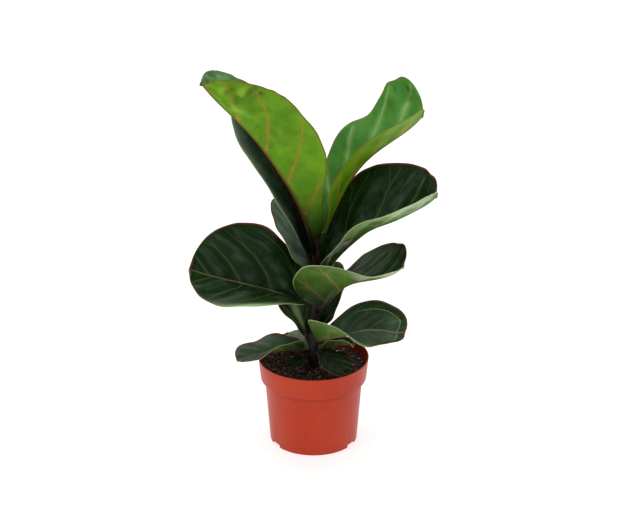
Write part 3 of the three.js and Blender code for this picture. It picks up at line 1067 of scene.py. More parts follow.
    def sheen_film(self, node: Callable, at: dict, patchy: object, crest: object) -> object:
        """Painted sheen: the leaf's own, inside its crease highlight if it has one, and streaks on the
        crests.

        Args:
            node: Adds a node to the material.
            at: The blade's attributes.
            patchy: Broad unevenness of the flesh.
            crest: Share on the crests between the side veins.

        Returns:
            Share of the painted sheen.
        """
        out = node("Math", at["across"], 1 / self.sheen_streak_length, operation="MULTIPLY")
        out = node("Math", out, operation="ABSOLUTE")
        beside = node("Math", at["phase"], self.sheen_streaks_in_gap, operation="MULTIPLY")
        clouds = node("TexNoise", node("CombineXYZ", beside, out, at["gap"]), 1.0, 2.0)
        cloudy = node("MapRange", clouds, 0.4, 0.68, **SMOOTH)
        crest_sheen = node("Math", crest, cloudy, operation="MULTIPLY")
        crest_sheen = node("Math", crest_sheen, self.crest_sheen_share, operation="MULTIPLY")
        uneven = node("Math", patchy, 0.4, 0.5, operation="MULTIPLY_ADD")
        painted_sheen = node("Math", at["painted_sheen"], uneven, operation="MULTIPLY")
        outside = node("MapRange", at["margin"], self.ring_place - 1.0, self.ring_place + 1.0, 1.0, 0.0)
        outside = node("Math", outside, at["ring"], operation="MULTIPLY", use_clamp=True)
        painted_sheen = node("Math", painted_sheen, node("Math", 1.0, outside, operation="SUBTRACT"), operation="MULTIPLY")
        return node("Math", painted_sheen, self.sheen_share, crest_sheen, operation="MULTIPLY_ADD")


# Dark and leathery, with a low satin gloss, painted sheen streaks on the crests, sunk pale veins and a
# red-brown rim.
MATURE_TOP = LeafFace(
    name="mature_fig_leaf_top",
    flesh="#10260a",
    flesh_light="#183512",
    vein="#4f6038",
    midrib="#7c7450",
    rim="#7d3526",
    stalk="#45421f",
    roughness=0.34,
    specular=0.13,
    relief=-0.4,
    vein_share=0.8,
    net_share=0.12,
    glow_share=0.1,
    crest_sheen_share=0.15,
    midrib_width=1.25,
    rim_width=2.3,
)

# Matt and paler than the top, with brown veins that stand up, and a pale rim line that is painted sheen.
MATURE_UNDER = LeafFace(
    name="mature_fig_leaf_underside",
    flesh="#37600f",
    flesh_light="#548222",
    vein="#96804a",
    midrib="#8a5a3a",
    # pale rim line: painted sheen along the edges
    rim="#b6c486",
    stalk="#45421f",
    roughness=0.42,
    specular=0.35,
    relief=0.5,
    vein_share=0.8,
    net_share=0.16,
    glow_share=0.12,
    painted_highlight="#a4c47e",
    sheen_share=0.0,
    sheen=0.1,
)

# Soft fresh green, with broad pale veins that fade into the flesh.
YOUNG_TOP = LeafFace(
    name="young_fig_leaf_top",
    flesh="#336f1e",
    flesh_light="#4f8c34",
    vein="#8fb268",
    midrib="#8d9a52",
    rim="#7b6238",
    stalk="#4d5c26",
    roughness=0.42,
    specular=0.2,
    relief=-0.4,
    vein_share=0.5,
    net_share=0.1,
    glow_share=0.4,
    fork_share=0.2,
    vein_width=1.9,
)

# Yellow-green and matt, and thin enough to glow where light stands behind it.
YOUNG_UNDER = LeafFace(
    name="young_fig_leaf_underside",
    flesh="#568a10",
    flesh_light="#70a31a",
    vein="#a88830",
    midrib="#6e3a1c",
    rim="#7c5420",
    stalk="#4d5c26",
    roughness=0.55,
    specular=0.14,
    relief=0.4,
    vein_share=0.8,
    net_share=0.06,
    glow_share=0.15,
    fork_share=0.35,
    painted_highlight="#b0d050",
    sheen_share=0.0,
    vein_width=2.0,
    midrib_width=1.9,
    see_through=0.5,
)


@dataclass(frozen=True)
class PotPlastic:
    """Polypropylene, injection moulded: evenly coloured, satin, with a faint orange peel and light scuffs.

    A painted shadow darkens a line under the band, and painted shade with some peat dust the inside
    of the wall. Sizes are in millimetres.
    """

    colour: str = "#bb2f0a"
    faded: str = "#c03a14"
    scuff: str = "#cf6c56"
    inner_shade_and_dust: str = "#3c1c10"  # painted shade on the inside of the wall, with peat dust that clings there
    band_shadow: str = "#74210c"  # painted shadow under the band
    roughness: float = 0.4
    specular: float = 0.25  # share of a plain skin's reflection, where a half is the whole of it
    fade_size: float = 45.5
    scuff_width: float = 2.38
    scuff_share: float = 0.18  # a scuff's width as a share of its length
    peel_size: float = 0.91
    band_shadow_share: float = 0.3  # how dark the painted shadow is
    band_shadow_spread: tuple[float, float] = (0.6, 3.4)  # distances from the line over which it fades

    def build(self, band_shadow_height: float) -> bpy.types.Material:
        """Builds the material.

        Args:
            band_shadow_height: Height of the painted shadow under the band, in metres.

        Returns:
            The pot's material.
        """
        material, tree = new_material("moulded_polypropylene")
        node = partial(add_node, tree)
        position = node("TexCoord").outputs["Object"]
        clouds = node("TexNoise", position, pattern_scale(self.fade_size), 3.0)
        cloudy = node("MapRange", clouds, 0.35, 0.75, **SMOOTH)
        scuffs = self.scuffs(node, position)
        layers = (
            (cloudy, self.faded),
            (scuffs, self.scuff),
            # painted shade on the inner wall, with some peat dust
            (self.shade_and_dust_inside(node, position), self.inner_shade_and_dust),
            # painted shadow under the band
            (self.band_shadow_line(node, position, band_shadow_height), self.band_shadow),
        )
        peel = node("TexNoise", position, pattern_scale(self.peel_size), 2.0)
        patterns = {
            "Base Color": lay_over(node, self.colour, layers),
            "Roughness": node("Math", scuffs, 0.3, self.roughness, operation="MULTIPLY_ADD"),
            "Normal": node("Bump", 0.35, 0.12 * MM, peel),
        }
        set_shader(tree, patterns, {"IOR": 1.49, "Specular IOR Level": self.specular})
        return material

    def scuffs(self, node: Callable, position: object) -> object:
        """Light scuffs, drawn out along the pot's height.

        Args:
            node: Adds a node to the material.
            position: Place on the pot.

        Returns:
            Share of the scuffs.
        """
        drawn = node("Mapping", position, (0, 0, 0), (0, 0, 0), (1.0, 1.0, self.scuff_share))
        stains_and_painted_light = node("TexNoise", drawn, pattern_scale(self.scuff_width), 5.0, 0.7)
        return node("MapRange", stains_and_painted_light, 0.62, 0.8, 0.0, 0.35, **SMOOTH)

    def shade_and_dust_inside(self, node: Callable, position: object) -> object:
        """Painted shade, with peat dust, on walls that face the pot's axis.

        Args:
            node: Adds a node to the material.
            position: Place on the pot.

        Returns:
            Share of the painted shade and dust.
        """
        outwards = node("VectorMath", position, (1.0, 1.0, 0.0), operation="MULTIPLY")
        outwards = node("VectorMath", outwards, operation="NORMALIZE")
        normal = node("TexCoord").outputs["Normal"]
        facing = node("VectorMath", outwards, normal, operation="DOT_PRODUCT")
        return node("MapRange", facing, -0.3, -0.8, 0.0, 0.6, **SMOOTH)

    def band_shadow_line(self, node: Callable, position: object, height: float) -> object:
        """Painted shadow: a soft dark line round the pot, under the band.

        Args:
            node: Adds a node to the material.
            position: Place on the pot.
            height: Height of the line.

        Returns:
            Share of the painted shadow.
        """
        away = node("Math", node("SeparateXYZ", position).outputs["Z"], height, operation="SUBTRACT")
        away = node("Math", away, operation="ABSOLUTE")
        near, far = (distance * MM for distance in self.band_shadow_spread)
        return node("MapRange", away, near, far, self.band_shadow_share, 0.0, **SMOOTH)


@dataclass(frozen=True)
class Earthy:
    """Peat, bark or another rough plant stuff: matt, grainy and uneven in colour."""

    name: str
    dark: str
    light: str
    fleck: str
    grain: float  # millimetres
    stretch: float = 1.0  # how much longer the grain is along Z than across
    bump: float = 0.5
    roughness: float = 0.85
    clump: float = 3.33  # size of a clump, in grains

    def build(self) -> bpy.types.Material:
        """Builds the material. The pieces' own "tone" attribute shifts its colour.

        Returns:
            The material.
        """
        material, tree = new_material(self.name)
        node = partial(add_node, tree)
        position = node("TexCoord").outputs["Object"]
        drawn = node("Mapping", position, (0, 0, 0), (0, 0, 0), (1.0, 1.0, 1.0 / self.stretch))
        tone = node("Attribute", attribute_name="tone").outputs["Fac"]
        coarse = node("TexNoise", drawn, pattern_scale(self.clump * self.grain), 5.0, 0.65)
        fine = node("TexNoise", drawn, pattern_scale(self.grain), 3.0, 0.7)
        uneven = node("MapRange", coarse, 0.35, 0.7, **SMOOTH)
        mixed = node("Math", uneven, tone, operation="ADD", use_clamp=True)
        flecks = node("MapRange", fine, 0.6, 0.72, 0.0, 0.55, **SMOOTH)
        colour = lay_over(node, self.dark, ((mixed, self.light), (flecks, self.fleck)))
        height = node("Math", fine, 0.5, coarse, operation="MULTIPLY_ADD")
        patterns = {"Base Color": colour, "Normal": node("Bump", self.bump, 0.8 * MM, height)}
        set_shader(tree, patterns, {"Roughness": self.roughness})
        return material


# Nearly black and crumbly, with brown fibres that catch the light.
PEAT = Earthy("damp_peat_mix", dark="#120a06", light="#402818", fleck="#66432c", grain=1.4, bump=0.9)
# Warm brown flakes that stand out from the peat.
CHIP_BARK = Earthy("composted_pine_bark", dark="#3a2114", light="#8a5836", fleck="#a87a4e", grain=1.6)
# Chalky white grains with fine grey pores.
PERLITE = Earthy("expanded_perlite", dark="#d8d4c8", light="#f2efe6", fleck="#b8b2a2", grain=1.0, bump=0.4)
# Dark brown young bark with a grain that runs up the stem.
STEM_BARK = Earthy(
    "young_fig_bark", dark="#150d08", light="#33241a", fleck="#5c4630", grain=1.2, stretch=3.0, roughness=0.7
)
# Papery and reddish brown, with long fibres.
DRY_SHEATH = Earthy(
    "dry_bud_sheath", dark="#1a0a07", light="#3e1c12", fleck="#5e3826", grain=1.0, stretch=5.0, roughness=0.6
)


@dataclass
class Pot:
    """Round grower pot of 12 cm with a rim band, a foot ring with three cut-outs and six drain holes."""

    height: float = 97 * MM
    rim_radius: float = 60 * MM
    band_radius: float = 57.4 * MM
    band_height: float = 24 * MM
    shoulder_height: float = 2.4 * MM
    neck_radius: float = 52.8 * MM
    foot_radius: float = 47.4 * MM
    wall: float = 1.3 * MM
    lip_height: float = 1 * MM
    lip_inset: float = 0.3 * MM
    foot_wall: float = 1.8 * MM
    floor_height: float = 4.6 * MM
    floor_thickness: float = 1.6 * MM
    notch_angles: Sequence[float] = (90, 210, 330)
    notch_width: float = 15 * MM
    notch_height: float = 3.6 * MM
    notch_depth: float = 8 * MM
    drain_count: int = 6
    drain_radius: float = 4.5 * MM
    drain_circle: float = 29 * MM
    band_shadow_drop: float = 1.2 * MM  # from the shoulder down to the painted shadow
    faces_round: int = 144
    edge_round: float = 0.45 * MM
    sharp_angle: float = 14.0  # degrees; corners sharper than this are rounded
    crisp_angle: float = 32.0  # degrees; edges sharper than this look crisp

    @property
    def band_foot(self) -> float:
        """Height of the rim band's lower edge."""
        return self.height - self.band_height

    @property
    def body_top(self) -> float:
        """Height at which the step out to the band begins."""
        return self.band_foot - self.shoulder_height

    def body_radius(self, z: float) -> float:
        """Outside radius of the body at a height."""
        return lerp(self.foot_radius, self.neck_radius, z / self.body_top)

    def inner_radius(self, z: float) -> float:
        """Inside radius of the pot.

        Args:
            z: A height above the floor.

        Returns:
            The radius there.
        """
        if z < self.body_top:
            return self.body_radius(z) - self.wall
        share = min(max((z - self.band_foot) / self.band_height, 0.0), 1.0)
        return lerp(self.band_radius, self.rim_radius, share) - self.wall

    def profile(self) -> list[tuple[float, float]]:
        """Outline of half the pot, from the floor's underside round to its top.

        Returns:
            Radius and height of each corner.
        """
        floor_top = self.floor_height + self.floor_thickness
        lip_foot = self.height - self.lip_height
        lip_radius = self.rim_radius - self.lip_inset
        return [
            (0.0, self.floor_height),
            (self.body_radius(self.floor_height) - self.foot_wall, self.floor_height),
            (self.foot_radius - self.foot_wall, 0.0),
            (self.foot_radius, 0.0),
            (self.neck_radius, self.body_top),
            (self.band_radius, self.band_foot),
            (lip_radius, lip_foot),
            (self.rim_radius - self.lip_inset / 3, self.height),
            (self.rim_radius - self.wall, self.height),
            (lip_radius - self.wall, lip_foot),
            (self.band_radius - self.wall, self.band_foot + self.wall / 2),
            (self.neck_radius - self.wall, self.body_top + self.wall / 2),
            (self.body_radius(floor_top) - self.wall, floor_top),
            (0.0, floor_top),
        ]

    def cutters(self) -> bpy.types.Object:
        """Builds the foot's cut-outs and the drain holes.

        Returns:
            One body of them all.
        """
        bm = bmesh.new()
        for angle in self.notch_angles:
            cube = bmesh.ops.create_cube(bm, size=1.0)["verts"]
            bmesh.ops.scale(bm, verts=cube, vec=(self.notch_depth, self.notch_width, 2 * self.notch_height))
            bmesh.ops.translate(bm, verts=cube, vec=(self.foot_radius, 0, 0))
            turned = Matrix.Rotation(math.radians(angle), 3, "Z")
            bmesh.ops.rotate(bm, verts=cube, cent=(0, 0, 0), matrix=turned)
        for i in range(self.drain_count):
            angle = math.tau * i / self.drain_count
            x, y = self.drain_circle * math.cos(angle), self.drain_circle * math.sin(angle)
            bmesh.ops.create_cone(
                bm,
                cap_ends=True,
                segments=32,
                radius1=self.drain_radius,
                radius2=self.drain_radius,
                depth=4 * self.floor_thickness,
                matrix=Matrix.Translation((x, y, self.floor_height)),
            )
        return mesh_object("cutters", bm)

    def blank(self) -> bpy.types.Object:
        """Builds the pot without its cut-outs and holes.

        Returns:
            The blank, with its corners rounded.
        """
        bm = spun(self.profile(), self.faces_round)
        sharp = [edge for edge in bm.edges if edge.calc_face_angle(0.0) > math.radians(self.sharp_angle)]
        bmesh.ops.bevel(
            bm,
            geom=sharp,
            offset=self.edge_round,
            offset_type="OFFSET",
            affect="EDGES",
            segments=3,
            profile=0.5,
            material=-1,
            clamp_overlap=True,
        )
        return mesh_object("pot_blank", bm)

    def build(self, plastic: bpy.types.Material) -> bpy.types.Object:
        """Builds the pot.

        Args:
            plastic: The pot's material.

        Returns:
            The pot.
        """
        blank, cutters = self.blank(), self.cutters()
        cut = blank.modifiers.new("cut", "BOOLEAN")
        cut.operation = "DIFFERENCE"
        cut.solver = "EXACT"
        cut.object = cutters
        bpy.context.view_layer.update()
        shaped = bmesh.new()
        shaped.from_object(blank, bpy.context.evaluated_depsgraph_get())
        bpy.data.objects.remove(blank)
        bpy.data.objects.remove(cutters)
        pot = finish_piece("grower_pot", shaped, [plastic], "pot_plastic", "pot")
        pot.data.set_sharp_from_angle(angle=math.radians(self.crisp_angle))
        return pot


@dataclass(frozen=True)
class Grains:
    """One kind of grain on the soil. Its half length is a draw, raised to the power, times the unit."""

    name: str
    count: int
    length: tuple[float, float]  # smallest and largest draw
    width: tuple[float, float]  # half width as a share of the half length
    height: tuple[float, float]  # half height as a share of the half length
    tones: tuple[float, float]  # lowest and highest shift of the material's colour
    tilt: float  # greatest tilt, in degrees
    seed: int
    power: float = 1.0  # above 1 where the small ones are more common
    unit: float = 1 * MM
    dents: tuple[float, float] = (-0.3, 0.25)  # how far a corner moves in or out, as a share
    fixed: Sequence[Spot] = ()  # X, Y and size of grains that have a place of their own
    fixed_diagonal: float = 1.7  # half the diagonal of such a grain, in its sizes

    def draw(self, dice: random.Random) -> Vector:
        """Draws the three half sizes of one grain, in metres.

        Args:
            dice: The seeded draw.

        Returns:
            Half the length, width and height.
        """
        length = dice.uniform(*self.length) ** self.power * self.unit
        return Vector((length, length * dice.uniform(*self.width), length * dice.uniform(*self.height)))


LARGE_CHIPS = (
    (-34.6 * MM, 24 * MM, 2.4 * MM),
    (-31.4 * MM, -6.7 * MM, 2.4 * MM),
    (38.6 * MM, 41.5 * MM, 2.4 * MM),
    (-24.6 * MM, -24 * MM, 3 * MM),
    (-12.9 * MM, -16 * MM, 3 * MM),
)
LARGE_PERLITE = ((9.2 * MM, 16.4 * MM, 1.7 * MM),)

CRUMBS = Grains(
    name="soil_crumbs",
    count=1500,
    length=(0.5, 1.0),
    width=(0.6, 1.0),
    height=(0.45, 0.8),
    tones=(-0.3, 0.55),
    tilt=180,
    seed=7,
    power=2.0,
    unit=2.2 * MM,
)

CHIPS = Grains(
    name="bark_chips",
    count=190,
    length=(1.4, 4.2),
    width=(0.3, 0.6),
    height=(0.15, 0.3),
    tones=(-0.6, 0.5),
    tilt=25,
    seed=8,
)

PALE_CHIPS = replace(
    CHIPS, name="pale_chips", count=16, tones=(0.4, 0.9), tilt=20, seed=10, fixed=LARGE_CHIPS
)

PERLITE_GRAINS = Grains(
    name="perlite_grains",
    count=16,
    length=(0.7, 1.4),
    width=(0.8, 1.0),
    height=(0.7, 0.9),
    tones=(0.0, 0.5),
    tilt=180,
    seed=9,
    fixed=LARGE_PERLITE,
)


@dataclass
class Soil:
    """Potting mix: a lumpy body of damp peat with crumbs, bark chips, fibres and perlite on it."""

    top: float = 85 * MM
    floor: float = 6.6 * MM
    clear: float = 0.4 * MM
    shoulder_clear: float = 0.2 * MM  # more room at the pot's inner step
    rim_clear: float = 0.6 * MM  # between the grains and the pot
    wave_height: float = 1.3  # millimetres, as the four below
    lump_height: float = 1.1
    lump_size: float = 4.2
    clod_height: float = 0.6
    clod_size: float = 1.9
    body_tone: float = -0.15  # shift of the body's colour towards the dark
    sunk: float = 0.45  # how high a grain's middle lies, as a share of its thinnest half size
    fibre_count: int = 130
    fibre_seed: int = 12
    fibre_clear: float = 7 * MM  # between the foot of a fibre and the pot
    fibre_bend: tuple[float, float] = (-0.5, 0.5)  # radians a step
    fibre_radius: tuple[float, float] = (0.15, 0.4)  # millimetres
    fibre_tones: tuple[float, float] = (-0.3, 0.7)
    fibre_steps: tuple[int, int] = (3, 7)
    fibre_stride: tuple[float, float] = (0.9, 1.6)  # millimetres a step
    rings: int = 110
    faces_round: int = 220

    def surface(self, x: float, y: float) -> float:
        """Height of the soil's face.

        Args:
            x: X of the place.
            y: Y of the place.

        Returns:
            The height there.
        """
        u, v = x / MM, y / MM
        waves = math.sin(u * 0.31 + 1) * math.cos(v * 0.27) + math.sin((u - v) * 0.54) / 2
        lumps = noise.noise(Vector((u, v, 3.0)) / self.lump_size) * self.lump_height
        lumps += noise.noise(Vector((u, v, 9.0)) / self.clod_size) * self.clod_height
        return self.top + (waves * self.wave_height + lumps) * MM

    def build_body(self, pot: Pot, peat: bpy.types.Material) -> bpy.types.Object:
        """Builds the body of the soil.

        Args:
            pot: The pot that holds it.
            peat: The soil's material.

        Returns:
            The soil's body.
        """
        rim = pot.inner_radius(self.top) - self.clear
        profile = [(0.0, self.floor), (pot.inner_radius(self.floor) - self.clear, self.floor)]
        for z in (pot.body_top - MM, pot.band_foot + pot.wall):
            profile.append((pot.inner_radius(z) - self.clear - self.shoulder_clear, z))
        profile.append((rim, self.top - 3 * MM))
        profile += [(rim * (1 - i / self.rings), self.top) for i in range(self.rings + 1)]
        bm = spun(profile, self.faces_round)
        tone = bm.verts.layers.float.new("tone")
        for vert in bm.verts:
            if vert.co.z > self.top - 0.5 * MM:
                vert.co.z = self.surface(vert.co.x, vert.co.y)
            vert[tone] = self.body_tone
        return finish_piece("soil_body", bm, [peat], "potting_soil", "soil")

    def spot(self, dice: random.Random, reach: float, stem_clear: float = 6 * MM) -> tuple[float, float]:
        """Draws a place on the soil.

        Args:
            dice: The seeded draw.
            reach: Largest distance from the middle.
            stem_clear: Smallest distance from the middle.

        Returns:
            X and Y of the place.
        """
        radius = math.sqrt(lerp(stem_clear**2, reach**2, dice.random()))
        angle = dice.uniform(0, math.tau)
        return radius * math.cos(angle), radius * math.sin(angle)

    def scatter(self, grains: Grains, material: bpy.types.Material, rim: float) -> bpy.types.Object:
        """Scatters one kind of grain over the soil, in one piece.

        Args:
            grains: The kind of grain.
            material: The grains' material.
            rim: Radius of the soil.

        Returns:
            The grains.
        """
        dice = random.Random(grains.seed)
        bm = bmesh.new()
        tone = bm.verts.layers.float.new("tone")
        for i in range(grains.count + len(grains.fixed)):
            half = grains.draw(dice)
            x, y = self.spot(dice, rim - max(half) - self.rim_clear)
            if i < len(grains.fixed):
                x, y, size = grains.fixed[i]
                half = half.normalized() * size * grains.fixed_diagonal
            tilts = [math.radians(dice.uniform(-grains.tilt, grains.tilt)) for _ in range(2)]
            turned = Matrix.Rotation(tilts[0], 4, "X") @ Matrix.Rotation(tilts[1], 4, "Y")
            turned = turned @ Matrix.Rotation(dice.uniform(0, math.tau), 4, "Z")
            middle = Vector((x, y, self.surface(x, y) + min(half) * self.sunk))
            matrix = Matrix.Translation(middle) @ turned @ Matrix.Diagonal((*half, 1.0))
            verts = bmesh.ops.create_icosphere(bm, subdivisions=1, radius=1.0, matrix=matrix)["verts"]
            shade = dice.uniform(*grains.tones)
            for vert in verts:
                vert.co += (vert.co - middle) * dice.uniform(*grains.dents)
                vert[tone] = shade
        return finish_piece(grains.name, bm, [material], "potting_soil")

    def build_fibres(self, material: bpy.types.Material, rim: float) -> bpy.types.Object:
        """Builds thin curved fibres and root hairs that lie on the soil.

        Args:
            material: The fibres' material.
            rim: Radius of the soil.

        Returns:
            The fibres.
        """
        dice = random.Random(self.fibre_seed)
        bm = bmesh.new()
        tone = bm.verts.layers.float.new("tone")
        for _ in range(self.fibre_count):
            x, y = self.spot(dice, rim - self.fibre_clear)
            heading, bend = dice.uniform(0, math.tau), dice.uniform(*self.fibre_bend)
            thickness, shade = dice.uniform(*self.fibre_radius) * MM, dice.uniform(*self.fibre_tones)
            verts = bmesh.ops.create_circle(bm, cap_ends=True, segments=4, radius=thickness)["verts"]
            turned = Matrix.Rotation(heading, 4, "Z") @ Matrix.Rotation(math.pi / 2, 4, "Y")
            z = self.surface(x, y) + thickness
            bmesh.ops.transform(bm, matrix=Matrix.Translation((x, y, z)) @ turned, verts=verts)
            for vert in verts:
                vert[tone] = shade
            face = next(iter(set.intersection(*(set(vert.link_faces) for vert in verts))))
            for _step in range(dice.randint(*self.fibre_steps)):
                face = bmesh.ops.extrude_discrete_faces(bm, faces=[face])["faces"][0]
                stride = dice.uniform(*self.fibre_stride) * MM
                shift = Vector((math.cos(heading) * stride, math.sin(heading) * stride, 0.0))
                x, y = x + shift.x, y + shift.y
                shift.z = self.surface(x, y) + thickness + dice.uniform(0.0, 0.5) * MM - z
                z += shift.z
                bmesh.ops.translate(bm, verts=face.verts[:], vec=shift)
                heading += bend
                for vert in face.verts:
                    vert[tone] = shade
        bmesh.ops.remove_doubles(bm, verts=bm.verts, dist=0.01 * MM)
        bmesh.ops.recalc_face_normals(bm, faces=bm.faces)
        return finish_piece("soil_fibres", bm, [material], "potting_soil")

    def build(self, pot: Pot) -> None:
        """Builds the soil and all that lies on it.

        Args:
            pot: The pot that holds it.
        """
        peat, bark, perlite = PEAT.build(), CHIP_BARK.build(), PERLITE.build()
        self.build_body(pot, peat)
        rim = pot.inner_radius(self.top) - self.clear
        self.scatter(CRUMBS, peat, rim)
        self.scatter(CHIPS, bark, rim)
        self.scatter(PALE_CHIPS, bark, rim)
        self.scatter(PERLITE_GRAINS, perlite, rim)
        self.build_fibres(bark, rim)


